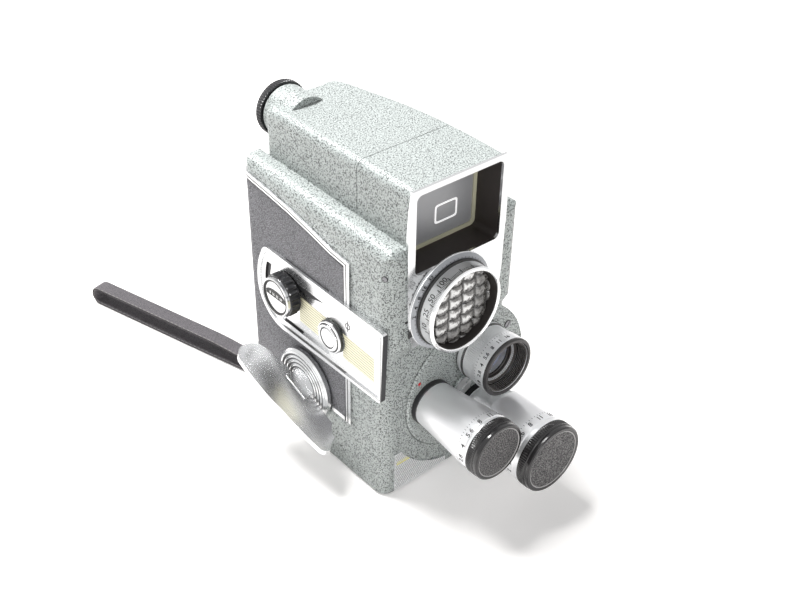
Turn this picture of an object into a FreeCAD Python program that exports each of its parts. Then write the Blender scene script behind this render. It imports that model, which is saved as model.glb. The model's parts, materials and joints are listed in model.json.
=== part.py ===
"""Spring-driven cine camera with a three-lens turret and an electric eye, modelled piece by piece.

Millimetres. +Z is up, the lenses look along -Y, the winding key is on the -X side and the film
door on the +X side. The origin is the mouth of the tripod socket, in the middle of the base.
"""

import FreeCAD, Part
import math
import os
import Sketcher

os.makedirs("parts", exist_ok=True)
doc = FreeCAD.newDocument("cine_camera")
sheet = doc.addObject("Spreadsheet::Sheet", "size")

# Driving dimensions of the whole camera, then of each group of pieces
SIZES = {
    "half_width": 33.2, "door_half": 35.6, "head_half": 24, "head_top": 150, "deck_seat": 124.8,
    "bezel_face": -47, "block_face": -45.8, "wall_face": -42.8, "cavity_front": -36.5,
    "rear_face": 49.5, "cavity_rear": 47.3, "skin": 2.2, "floor_top": 2.4,
    "block_foot": 80, "slope": 6, "brow": 5, "bezel_half": 25.8, "side_top_front": 120.5, "side_top_rear": 123.8, "shoulder": 5,
    "corner_front": 5.4, "corner_rear": 5, "parting": 24.6, "door_gap": 0.3,
    "cavity_top_front": 118, "cavity_top_rear": 121, "hinge_x": 24.75, "hinge_y": 51.2, "knuckle": 1.4,
    "turret_x": 9.3, "turret_z": 42.6, "turret_radius": 30.4, "turret_face": -43.8,
    "turret_back": -40.8, "turret_boss": 38, "boss_face": -42.8, "lens_circle": 17.8,
    "lens_turn": 60, "mount_radius": 7.94, "port_radius": 6,
    "eye_x": -3.1, "eye_z": 94.2, "eye_radius": 19, "eye_front": -56.9,
    "window_left": -22, "window_right": 22.3, "window_foot": 113.2, "window_top": 148,
    "glass_face": -32.7, "hood_back": -15, "head_rear": 49.3,
    "finder_x": -9.8, "finder_z": 142, "finder_boss": 11.3,
    "key_y": 7.2, "key_z": 34.4, "key_radius": 17, "key_face": -37.4,
    "wing_pivot": 40.4, "wing_reach": 34, "wing_turn": -110,
    "dial_y": 18.3, "dial_z": 77, "button_y": -12.2, "button_z": 71.6,
    "plate_out": -35.4, "leather": 0.6, "trim_rise": 0.9,
    "panel_front": -22.1, "panel_foot": 28.9, "panel_top_front": 111.6, "panel_top_rear": 124,
    "supply_y": 17, "supply_z": 88.5, "spool_radius": 25.4, "spool_start": 6.6, "spool_width": 16.6,
    "gear_unit": 0.8, "fine_unit": 0.5, "great_teeth": 60, "pinion_teeth": 15, "back_teeth": 30,
    "takeup_teeth": 45, "second_teeth": 10, "shutter_wheel_teeth": 40, "shutter_pinion_teeth": 10,
    "crown_teeth": 32, "shutter_x": 1.5, "shutter_z": 58, "shutter_radius": 20,
    "drive_y": -30.7, "second_angle": -10, "governor_angle": 62,
    "plate_x": 2, "plate_thick": 2, "frame_pitch": 3.81, "socket_radius": 3.175,
    "strap_width": 8, "strap_thick": 1.6, "strap_bar": 5.9, "strap_length": 120,
    "lug_x": -22.7, "lug_z": 4.4, "strap_lean": 15.5,
}
for row, (alias, number) in enumerate(SIZES.items(), start=1):
    sheet.set(f"A{row}", alias)
    sheet.set(f"B{row}", str(number))
    sheet.setAlias(f"B{row}", alias)
doc.recompute()

PLATE_AXES = FreeCAD.Rotation(FreeCAD.Vector(0, 1, 0), -90)
FRONT_AXES = FreeCAD.Rotation(FreeCAD.Vector(1, 0, 0), 90)
REAR_AXES = FreeCAD.Rotation(FreeCAD.Vector(1, 0, 0), -90)
FAR = 400
PIECES = []


def worth(expression):
    """Value of an expression in which every alias stands for its cell."""
    text = str(expression)
    return float(sheet.evalExpression(text))


def cells(expression):
    """The expression as another object has to write it, with the sheet named before each alias."""
    text = str(expression)
    out = ""
    word = ""
    for letter in text + " ":
        if letter.isalnum() or letter == "_":
            word += letter
            continue
        out += f"size.{word}" if word in SIZES else word
        out += letter
        word = ""
    return out.strip()


def keep(piece, label):
    """Name a finished sub-part and put it on the list that is written out."""
    piece.Label = label
    PIECES.append(piece)
    return piece


def body(label):
    return keep(doc.addObject("PartDesign::Body", label), label)


def place(piece, x=0, y=0, z=0, axes=None):
    """Put a piece at a spot given by cells, turned by a fixed rotation."""
    piece.Placement = FreeCAD.Placement(FreeCAD.Vector(0, 0, 0), axes or FreeCAD.Rotation())
    for axis, amount in zip("xyz", (x, y, z)):
        piece.setExpression(f"Placement.Base.{axis}", cells(amount))


def sketch(owner, flat="XY", offset=0):
    """Empty sketch on one of the body's own planes; XZ sketches rise towards +Y with the offset."""
    made = owner.newObject("Sketcher::SketchObject", f"{owner.Name}_outline")
    plane = next(f for f in owner.Origin.OriginFeatures if f.Role == f"{flat}_Plane")
    made.AttachmentSupport = [(plane, "")]
    made.MapMode = "FlatFace"
    away = f"-({cells(offset)})" if flat == "XZ" else cells(offset)
    made.setExpression("AttachmentOffset.Base.z", away)
    return made


def hold(made, kind, where, amount):
    """Add one dimension to a sketch and bind it to the sheet."""
    index = made.addConstraint(Sketcher.Constraint(kind, *where, worth(amount)))
    made.setExpression(f"Constraints[{index}]", cells(amount))


def ring(made, x, y, radius):
    """Circle at a point given by cells."""
    centre = FreeCAD.Vector(worth(x), worth(y), 0)
    index = made.addGeometry(Part.Circle(centre, FreeCAD.Vector(0, 0, 1), worth(radius)), False)
    hold(made, "Radius", (index,), radius)
    hold(made, "DistanceX", (index, 3), x)
    hold(made, "DistanceY", (index, 3), y)


def outline(made, points):
    """Closed outline through points given by cells; a third entry is the bulge of the next side.

    The bulge is the arc's height over its chord, positive to the left of the direction of travel.
    """
    spots = [FreeCAD.Vector(worth(p[0]), worth(p[1]), 0) for p in points]
    first = made.GeometryCount
    for index, point in enumerate(points):
        start = spots[index]
        end = spots[(index + 1) % len(points)]
        if len(point) > 2:
            chord = end - start
            side = FreeCAD.Vector(-chord.y, chord.x, 0).normalize()
            middle = (start + end) * 0.5 + side * worth(point[2])
            made.addGeometry(Part.Arc(start, middle, end), False)
        else:
            made.addGeometry(Part.LineSegment(start, end), False)
    ends = []
    for index, point in enumerate(points):
        flipped = len(point) > 2 and worth(point[2]) > 0
        ends.append((first + index, 2 if flipped else 1, 1 if flipped else 2))
    for index, point in enumerate(points):
        geometry, head, tail = ends[index]
        after = ends[(index + 1) % len(points)]
        made.addConstraint(Sketcher.Constraint("Coincident", geometry, tail, after[0], after[1]))
        hold(made, "DistanceX", (geometry, head), point[0])
        hold(made, "DistanceY", (geometry, head), point[1])
        if len(point) > 2:
            bulge = f"abs({point[2]})"
            square = f"(({points[(index + 1) % len(points)][0]})-({point[0]}))^2"
            square += f"+(({points[(index + 1) % len(points)][1]})-({point[1]}))^2"
            hold(made, "Radius", (geometry,), f"(({square})/4+{bulge}^2)/(2*{bulge})")


def rectangle(made, left, low, right, high):
    outline(made, [(left, low), (right, low), (right, high), (left, high)])


def pad(owner, made, length, back=False, middle=False):
    feature = owner.newObject("PartDesign::Pad", f"{owner.Name}_pad")
    feature.Profile = made
    feature.setExpression("Length", cells(length))
    feature.Reversed = back
    feature.Midplane = middle
    return feature


def pocket(owner, made, length, back=False, middle=False):
    """Cut a sketch out of the body and make sure that something was removed."""
    doc.recompute()
    before = owner.Shape.Volume
    feature = owner.newObject("PartDesign::Pocket", f"{owner.Name}_pocket")
    feature.Profile = made
    feature.setExpression("Length", cells(length))
    feature.Reversed = back
    feature.Midplane = middle
    doc.recompute()
    if owner.Shape.Volume > before - 1e-6:
        raise RuntimeError(f"{feature.Label} on {owner.Label} cuts nothing")
    return feature


def turned(owner, points, cut=False):
    """Revolve an outline of (radius, height) points about the body's own Z axis."""
    made = sketch(owner, "XZ")
    outline(made, points)
    kind = "PartDesign::Groove" if cut else "PartDesign::Revolution"
    feature = owner.newObject(kind, f"{owner.Name}_turn")
    feature.Profile = made
    feature.ReferenceAxis = (made, ["V_Axis"])
    feature.Angle = 360
    return feature


def lens_spot(turn):
    """Place of one lens on the turret, in cells, for a turn in degrees from +X."""
    x = f"turret_x + lens_circle * cos({turn})"
    z = f"turret_z + lens_circle * sin({turn})"
    return x, z


def between(radius_a, radius_b, spot_a, spot_b, upper):
    """Point at one distance from spot_a and another from spot_b, as two numbers."""
    gap_y = spot_b[0] - spot_a[0]
    gap_z = spot_b[1] - spot_a[1]
    gap = math.hypot(gap_y, gap_z)
    along = (radius_a ** 2 - radius_b ** 2 + gap ** 2) / (2 * gap)
    across = math.sqrt(radius_a ** 2 - along ** 2) * (1 if upper else -1)
    y = spot_a[0] + (along * gap_y - across * gap_z) / gap
    z = spot_a[1] + (along * gap_z + across * gap_y) / gap
    return y, z


# Gear centres in the side view, from the pitch radii
GREAT = worth("gear_unit * great_teeth / 2")
PINION = worth("gear_unit * pinion_teeth / 2")
BACK = worth("gear_unit * back_teeth / 2")
SECOND = worth("gear_unit * second_teeth / 2")
WHEEL = worth("fine_unit * shutter_wheel_teeth / 2")
FINE = worth("fine_unit * shutter_pinion_teeth / 2")
KEY_SPOT = (worth("key_y"), worth("key_z"))
DRIVE_SPOT = (worth("drive_y"), worth("shutter_z"))


def round_spot(spot, distance, degrees):
    turn = math.radians(degrees)
    return spot[0] + distance * math.cos(turn), spot[1] + distance * math.sin(turn)


SECOND_SPOT = round_spot(DRIVE_SPOT, WHEEL + FINE, worth("second_angle"))
BACK_SPOT = between(GREAT + PINION, BACK + SECOND, KEY_SPOT, SECOND_SPOT, True)
GOVERNOR_SPOT = round_spot(SECOND_SPOT, WHEEL + FINE, worth("governor_angle"))


def tooth_points(unit, teeth, slack=0.10):
    """Half outline of one involute tooth on +X as (radius, half angle) pairs, root to tip."""
    pressure = math.radians(20)
    pitch = unit * teeth / 2
    base = pitch * math.cos(pressure)
    root = pitch - 1.2 * unit
    tip = pitch + 0.92 * unit
    half = math.pi / (2 * teeth) - slack / pitch
    involute = math.tan(pressure) - pressure
    pairs = []
    for radius in (max(root, 0.1), pitch - 0.35 * unit, pitch + 0.3 * unit, tip):
        turn = math.acos(min(1.0, base / radius)) if radius > base else 0.0
        pairs.append((radius, half + involute - (math.tan(turn) - turn)))
    return pairs


def gear_blank(unit, teeth, phase, slack=0.10):
    """Face of a spur gear in its own plane, with a tooth centred at the phase angle."""
    pairs = tooth_points(unit, teeth, slack)
    spots = []
    for index in range(teeth):
        middle = phase + 2 * math.pi * index / teeth
        flank = [(r, middle - a) for r, a in pairs] + [(r, middle + a) for r, a in reversed(pairs)]
        spots += [FreeCAD.Vector(r * math.cos(a), r * math.sin(a), 0) for r, a in flank]
    return Part.Face(Part.makePolygon(spots + spots[:1]))


def disc(radius, start, end, y=0, z=0):
    """Cylinder along X between two stations."""
    return Part.makeCylinder(radius, end - start, FreeCAD.Vector(start, y, z), FreeCAD.Vector(1, 0, 0))


def gear(unit, teeth, start, end, phase, slack=0.10):
    """Spur gear along X between two stations, with a tooth at the phase angle from +Y to +Z."""
    face = gear_blank(unit, teeth, phase, slack)
    solid = face.extrude(FreeCAD.Vector(0, 0, end - start))
    # local X to +Y, local Y to +Z, local Z to +X
    turn = FreeCAD.Rotation(FreeCAD.Vector(0, 1, 0), FreeCAD.Vector(0, 0, 1), FreeCAD.Vector(1, 0, 0), "XYZ")
    solid.Placement = FreeCAD.Placement(FreeCAD.Vector(start, 0, 0), turn)
    return solid


def heading(spot_a, spot_b):
    """Angle of the line from one centre to the next, from +Y to +Z."""
    return math.atan2(spot_b[1] - spot_a[1], spot_b[0] - spot_a[0])


def meshing(phase, teeth, other_teeth, line):
    """Phase of the second gear, so that its gap faces a tooth of the first on their centre line."""
    first = (line - phase) * teeth / (2 * math.pi)
    fraction = first - math.floor(first)
    return line + math.pi + (fraction + 0.5) * 2 * math.pi / other_teeth


def shaped(label, shape, y=0, z=0):
    """Sub-part whose solid is worked out in code; its place follows its solid."""
    made = keep(doc.addObject("Part::Feature", label), label)
    made.Shape = shape.removeSplitter()
    made.Placement = FreeCAD.Placement(FreeCAD.Vector(0, y, z), FreeCAD.Rotation())
    return made


# Casing
def casing_outline(owner, front, level):
    """Plan of the casing at a level, with its front wall at the given face."""
    made = sketch(owner, "XY", level)
    corner = "corner_front * 0.2929"
    rear = "corner_rear * 0.2929"
    outline(made, [
        ("-half_width + corner_front", front),
        ("door_half - corner_front", front, f"-{corner}"),
        ("door_half", f"{front} + corner_front"),
        ("door_half", "rear_face - corner_rear", f"-{rear}"),
        ("door_half - corner_rear", "rear_face"),
        ("-half_width + corner_rear", "rear_face", f"-{rear}"),
        ("-half_width", "rear_face - corner_rear"),
        ("-half_width", f"{front} + corner_front", f"-{corner}"),
    ])
    return made


def casing_form(owner):
    """Outer form that the casting and the film door share: two prisms joined by a slope, under a rounded deck."""
    for front, start, end in (("wall_face", "0", "block_foot - slope"), ("block_face", "block_foot", "140")):
        made = casing_outline(owner, front, start)
        pad(owner, made, f"{end} - ({start})")
        doc.recompute()
        if front == "wall_face":
            edges = [f"Edge{i}" for i, e in enumerate(owner.Shape.Edges, 1) if e.BoundBox.ZMax < 0.01]
            block = owner.Tip
            soft = owner.newObject("PartDesign::Fillet", f"{owner.Name}_foot_edge")
            soft.Base = (block, edges)
            soft.Radius = 1.4
            doc.recompute()
            rise = owner.newObject("PartDesign::AdditiveLoft", f"{owner.Name}_slope")
            rise.Profile = casing_outline(owner, "wall_face", "block_foot - slope")
            rise.Sections = [casing_outline(owner, "block_face", "block_foot")]
            doc.recompute()
    above = owner.newObject("PartDesign::SubtractiveLoft", f"{owner.Name}_shoulder")
    sections = []
    for place_y, side in (("block_face - 4", "side_top_front"), ("rear_face + 4", "side_top_rear")):
        made = sketch(owner, "XZ", place_y)
        outline(made, [
            ("-half_width - 6", f"{side}"),
            ("-half_width", f"{side}", "shoulder * 0.2929"),
            ("-half_width + shoulder", f"{side} + shoulder"),
            ("door_half - shoulder", f"{side} + shoulder", "shoulder * 0.2929"),
            ("door_half", f"{side}"),
            ("door_half + 6", f"{side}"),
            ("door_half + 6", "160"),
            ("-half_width - 6", "160"),
        ])
        sections.append(made)
    above.Profile = sections[0]
    above.Sections = sections[1:]
    doc.recompute()
    for side, back in (("-", True), ("", False)):
        brow = sketch(owner, "YZ", f"{side}bezel_half")
        deck = "side_top_front + shoulder + 0.2"
        outline(brow, [
            ("block_face - 2", "129"), ("block_face - 2", f"{deck} - brow"),
            ("block_face", f"{deck} - brow", "brow * 0.2929"), ("block_face + brow", deck),
            ("block_face + brow", "129"),
        ])
        pocket(owner, brow, "20", back=not back)


def main_housing():
    """Die-cast body, open towards the film door, with the round turret boss on its front wall."""
    owner = body("main_housing")
    casing_form(owner)
    made = sketch(owner, "YZ", "parting")
    rectangle(made, "cavity_front", "-5", "rear_face + 5", "150")
    pocket(owner, made, "20", back=True)
    boss = sketch(owner, "XZ", "cavity_front - 0.5")
    ring(boss, "turret_x", "turret_z", "turret_boss")
    pad(owner, boss, "cavity_front - 0.5 - boss_face")
    cavity = sketch(owner, "YZ", "parting + 1")
    outline(cavity, [
        ("cavity_front", "floor_top"), ("cavity_rear", "floor_top"),
        ("cavity_rear", "cavity_top_rear"), ("-28.5", "cavity_top_front"),
        ("-28.5", "110.5"), ("cavity_front", "110.5"),
    ])
    pocket(owner, cavity, "parting + 1 + half_width - skin")
    recess = sketch(owner, "XZ", "boss_face - 1")
    ring(recess, "turret_x", "turret_z", "turret_radius + 0.3")
    pocket(owner, recess, "turret_back + 0.3 - boss_face + 1")
    hub = sketch(owner, "XZ", "cavity_front + 1")
    ring(hub, "turret_x", "turret_z", "4.05")
    ring(hub, *lens_spot("lens_turn"), "port_radius")
    pocket(owner, hub, "cavity_front + 1 - boss_face", back=True)
    nut = sketch(owner, "XZ", "cavity_front - 1.8")
    ring(nut, "turret_x", "turret_z", "6")
    pocket(owner, nut, "5")
    seat = sketch(owner, "XY", "deck_seat")
    rectangle(seat, "-head_half", "block_face - 2", "head_half + 3.3", "rear_face + 2")
    pocket(owner, seat, "20", back=True)
    tunnel = sketch(owner, "XZ", "block_face - 2")
    rectangle(tunnel, "window_left - 0.6", "window_foot - 0.6", "window_right + 0.6", "160")
    pocket(owner, tunnel, "glass_face + 2 - block_face + 2")
    cell = sketch(owner, "XZ", "block_face - 2")
    ring(cell, "eye_x", "eye_z", "13")
    pocket(owner, cell, "8.8")
    for centre_y, centre_z, radius in (
        ("key_y", "key_z", "3.05"), ("dial_y", "dial_z", "2.05"), ("button_y", "button_z", "2.55"),
    ):
        bore = sketch(owner, "YZ", "-half_width - 1")
        ring(bore, centre_y, centre_z, radius)
        pocket(owner, bore, "skin + 2", back=True)
    socket = sketch(owner, "XY", "-1")
    ring(socket, "0", "0", "5.2")
    pocket(owner, socket, "floor_top + 2", back=True)
    pivot = sketch(owner, "XZ", "cavity_front - 2.6")
    ring(pivot, "shutter_x", "shutter_z", "1.55")
    pocket(owner, pivot, "4")
    knuckles(owner, ("14", "94"), "-1", "0.7")
    return owner


def knuckles(owner, levels, side, bore):
    """Hinge ears 10 mm tall on the rear face, on one side of the parting line."""
    for low in levels:
        leaf = sketch(owner, "XY", low)
        outline(leaf, [
            (f"hinge_x + {side} * 0.15", "rear_face - 1"), (f"hinge_x + {side} * knuckle", "rear_face - 1"),
            (f"hinge_x + {side} * knuckle", "hinge_y"), (f"hinge_x + {side} * 0.15", "hinge_y - 0.3"),
        ])
        pad(owner, leaf, "9.7")
        barrel = sketch(owner, "XY", low)
        ring(barrel, "hinge_x", "hinge_y", "knuckle")
        pad(owner, barrel, "9.7")
        hole = sketch(owner, "XY", f"{low} - 1")
        ring(hole, "hinge_x", "hinge_y", bore)
        pocket(owner, hole, "12", back=True)


def film_door():
    """Side door: the other half of the casing form, hollowed, with its own hinge ears."""
    owner = body("film_door")
    casing_form(owner)
    made = sketch(owner, "YZ", "parting + door_gap")
    rectangle(made, "block_face - 5", "-5", "rear_face + 5", "150")
    pocket(owner, made, "70")
    front = sketch(owner, "XZ", "cavity_front + door_gap")
    rectangle(front, "parting - 2", "-5", "door_half + 5", "150")
    pocket(owner, front, "20", back=True)
    dish = sketch(owner, "YZ", "parting - 1")
    outline(dish, [
        ("cavity_front + 2.5", "floor_top"), ("cavity_rear", "floor_top"),
        ("cavity_rear", "cavity_top_rear"), ("cavity_front + 2.5", "cavity_top_front"),
    ])
    pocket(owner, dish, "door_half - skin - parting + 1", back=True)
    seat = sketch(owner, "XY", "deck_seat - 0.3")
    rectangle(seat, "head_half", "block_face - 2", "head_half + 3.3", "rear_face + 2")
    pocket(owner, seat, "20", back=True)
    bore = sketch(owner, "YZ", "parting")
    ring(bore, "-28", "62", "2.05")
    pocket(owner, bore, "12", back=True)
    knuckles(owner, ("24", "84"), "1", "0.75")
    return owner


def hinge_pins():
    """The two pins of the door hinge, one piece each side of the gap between the ears."""
    for label, low in (("hinge_pin_lower", "14"), ("hinge_pin_upper", "84")):
        owner = body(label)
        made = sketch(owner, "XY", low)
        ring(made, "hinge_x", "hinge_y", "0.7")
        pad(owner, made, "19.7")


def door_latch():
    """Coin-slot knob outside the door with the locking cam on the same shaft inside."""
    owner = body("door_latch")
    turned(owner, [
        ("0", "-4"), ("5", "-4"), ("5", "-2.6"), ("2", "-2.6"), ("2", "0.3"), ("8", "0.3"),
        ("8", "2"), ("6.8", "3"), ("0", "3"),
    ])
    doc.recompute()
    slot = sketch(owner, "XY", "4")
    rectangle(slot, "-0.8", "-6", "0.8", "6")
    pocket(owner, slot, "2.2")
    place(owner, "door_half", "-28", "62", FreeCAD.Rotation(FreeCAD.Vector(0, 1, 0), 90))


# Turret and lenses
def turret_disc():
    owner = body("turret_disc")
    made = sketch(owner, "XY", "0")
    ring(made, "0", "0", "turret_radius")
    ring(made, "0", "0", "4")
    pad(owner, made, "turret_back - turret_face", back=True)
    doc.recompute()
    rim = [f"Edge{i}" for i, e in enumerate(owner.Shape.Edges, 1)
           if abs(e.BoundBox.ZMax) < 1e-4 and e.BoundBox.XMax > 20]
    block = owner.Tip
    bevel = owner.newObject("PartDesign::Chamfer", "turret_rim")
    bevel.Base = (block, rim)
    bevel.Size = 0.8
    doc.recompute()
    holes = sketch(owner, "XY", "1")
    for index in range(3):
        ring(holes, f"lens_circle * cos(lens_turn + {120 * index})",
             f"lens_circle * sin(lens_turn + {120 * index})", "mount_radius")
    pocket(owner, holes, "10")
    place(owner, "turret_x", "turret_face", "turret_z", FRONT_AXES)


def front_piece(label, x, z, points, station="turret_face"):
    """Turned piece that faces the front; heights are measured forward from the station."""
    owner = body(label)
    turned(owner, points)
    place(owner, x, station, z, FRONT_AXES)
    return owner


def lenses():
    """Three screw-in objectives, each with its own front element, and the caps of two of them."""
    front_piece("turret_pivot", "turret_x", "turret_z", [
        ("0", "-7"), ("5.6", "-7"), ("5.6", "-5.6"), ("4", "-5.6"), ("4", "0.1"), ("4.9", "0.1"),
        ("4.9", "1.1"), ("4.3", "1.7"), ("0", "1.7"),
    ])
    spot = lens_spot("lens_turn")
    front_piece("normal_barrel", *spot, [
        ("6", "-3"), ("mount_radius - 0.04", "-3"), ("mount_radius - 0.04", "0"), ("12.3", "0"),
        ("12.6", "0.6"), ("12.6", "1.9"), ("13.2", "2.2"), ("13.2", "3.4"), ("12.8", "3.8"),
        ("12.9", "10.2"), ("13.3", "10.8"), ("13.6", "16.6"), ("13.6", "17.9"), ("13.1", "18.4"), ("12", "18.4"),
        ("11.6", "17.6"), ("11.2", "12.4"), ("9.4", "12"), ("8.4", "9"),
        ("8.4", "5"), ("6", "5"),
    ])
    front_piece("normal_glass", *spot, [
        ("0", "5.2"), ("8.3", "5.2"), ("8.3", "6.8", "-0.45"), ("0.5", "8.8"), ("0", "8.8"),
    ])
    spot = lens_spot("lens_turn + 120")
    front_piece("tele_barrel", *spot, [
        ("5", "-3"), ("mount_radius - 0.04", "-3"), ("mount_radius - 0.04", "0"), ("10.5", "0"),
        ("10.5", "2.1"), ("10.1", "2.4"), ("10.2", "4"), ("12.9", "32.6"), ("12.9", "33.2"),
        ("12.4", "33.6"), ("12.4", "39"), ("11", "39"), ("10.6", "30"), ("5", "8"),
    ])
    front_piece("tele_glass", *spot, [
        ("0", "27"), ("9.6", "27"), ("10.4", "30.2"), ("10.4", "32", "-0.45"), ("0.5", "34"), ("0", "34"),
    ])
    front_piece("tele_cap", *spot, [
        ("0", "39.8"), ("12.45", "39.8"), ("12.45", "35.2"), ("13.1", "35.2"), ("13.1", "38.6"),
        ("12.8", "39"), ("12.9", "40.7"), ("12.4", "41.2"), ("0", "41.2"),
    ])
    spot = lens_spot("lens_turn + 240")
    front_piece("wide_barrel", *spot, [
        ("5", "-3"), ("mount_radius - 0.04", "-3"), ("mount_radius - 0.04", "0"), ("10.5", "0"),
        ("10.5", "3.4"), ("11.2", "5"), ("13.4", "12.6"), ("15.4", "17.2"), ("15.5", "38.8"),
        ("15.1", "39.4"), ("15.1", "45.4"), ("13.6", "45.4"), ("12.4", "36"), ("5", "12"),
    ])
    front_piece("wide_glass", *spot, [
        ("0", "31"), ("10.2", "31"), ("12.2", "36.6"), ("12.2", "38", "-0.8"), ("0.5", "41.5"), ("0", "41.5"),
    ])
    front_piece("wide_cap", *spot, [
        ("0", "46.2"), ("15.15", "46.2"), ("15.15", "41.7"), ("15.9", "41.7"), ("15.9", "45.2"),
        ("15.5", "45.6"), ("15.6", "47.2"), ("15.1", "47.7"), ("0", "47.7"),
    ])


# Electric eye and the front plate
def honeycomb():
    """Lens plate of the light meter: a disc covered with hexagonal cells, each one a low dome."""
    radius = worth("eye_radius - 2.3")
    pitch = 5.6
    bulge = pitch * 0.62
    ball_radius = 4.4
    plate = Part.makeCylinder(radius, 1.2, FreeCAD.Vector(0, 0, 0), FreeCAD.Vector(0, 0, 1))
    for row in range(-4, 5):
        for column in range(-4, 5):
            x = (column + 0.5 * (row % 2)) * pitch
            y = row * pitch * math.sqrt(3) / 2
            if math.hypot(x, y) > radius - 1:
                continue
            ring_points = []
            for corner in range(7):
                turn = math.radians(60 * corner + 30)
                ring_points.append(FreeCAD.Vector(x + (pitch / math.sqrt(3) - 0.12) * math.cos(turn),
                                                  y + (pitch / math.sqrt(3) - 0.12) * math.sin(turn), 1.1))
            column_solid = Part.Face(Part.makePolygon(ring_points)).extrude(FreeCAD.Vector(0, 0, 4))
            ball = Part.makeSphere(ball_radius, FreeCAD.Vector(x, y, 1.2 + bulge * 0.5 - ball_radius))
            dome = column_solid.common(ball)
            if math.hypot(x, y) + pitch * 0.6 > radius:
                dome = dome.common(Part.makeCylinder(radius, 9))
            plate = plate.fuse(dome)
    made = keep(doc.addObject("Part::Feature", "honeycomb"), "honeycomb")
    made.Shape = plate.removeSplitter()
    spot = FreeCAD.Vector(worth("eye_x"), worth("eye_front + 6.3"), worth("eye_z"))
    made.Placement = FreeCAD.Placement(spot, FRONT_AXES)


def electric_eye():
    """Meter cell in its tube behind the honeycomb, with the setting ring turning round the tube."""
    eye = ("eye_x", "eye_z")
    front_piece("selenium_cell", *eye, [("0", "-7.6"), ("12.8", "-7.6"), ("12.8", "-6.4"), ("0", "-6.4")],
                "bezel_face")
    front_piece("eye_tube", *eye, [
        ("13.2", "-1.2"), ("16.8", "-1.2"), ("16.8", "3.4"), ("13.2", "3.4"),
    ], "bezel_face")
    front_piece("eye_ring", *eye, [
        ("16.95", "1.9"), ("19.2", "1.9"), ("19.2", "2.5"), ("18.6", "3"), ("18.5", "8.2"), ("18.9", "8.6"),
        ("18.9", "9.2"), ("18.4", "9.8"), ("17.6", "9.9"), ("17.2", "9.6"), ("16.95", "9"),
    ], "bezel_face")
    honeycomb()
    front_piece("exposure_scale", *eye, [
        ("17.2", "0"), ("21.4", "0"), ("21.4", "0.5"), ("19.6", "1.6"), ("17.2", "1.6"),
    ], "bezel_face")


def front_bezel():
    """Polished plate round the finder window and the electric eye."""
    owner = body("front_bezel")
    made = sketch(owner, "XZ", "block_face")
    right = [("22.5", "79.4"), ("24.5", "88"), ("25.3", "100"), ("25.4", "113"), ("25.8", "124"),
             ("25.6", "133"), ("25", "143"), ("24", "150.4")]
    left = [(f"-{x}", z) for x, z in reversed(right)]
    outline(made, right + left)
    pad(owner, made, "block_face - bezel_face")
    hole = sketch(owner, "XZ", "block_face + 1")
    rounded(hole, "window_left", "window_foot", "window_right", "window_top", "2.6")
    ring(hole, "eye_x", "eye_z", "16.9")
    pocket(owner, hole, "5", back=True)


def rounded(made, left, low, right, high, radius):
    """Rectangle with rounded corners, drawn anticlockwise."""
    bend = f"-({radius}) * 0.2929"
    outline(made, [
        (f"{left} + {radius}", low), (f"{right} - {radius}", low, bend),
        (right, f"{low} + {radius}"), (right, f"{high} - {radius}", bend),
        (f"{right} - {radius}", high), (f"{left} + {radius}", high, bend),
        (left, f"{high} - {radius}"), (left, f"{low} + {radius}", bend),
    ])


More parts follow.
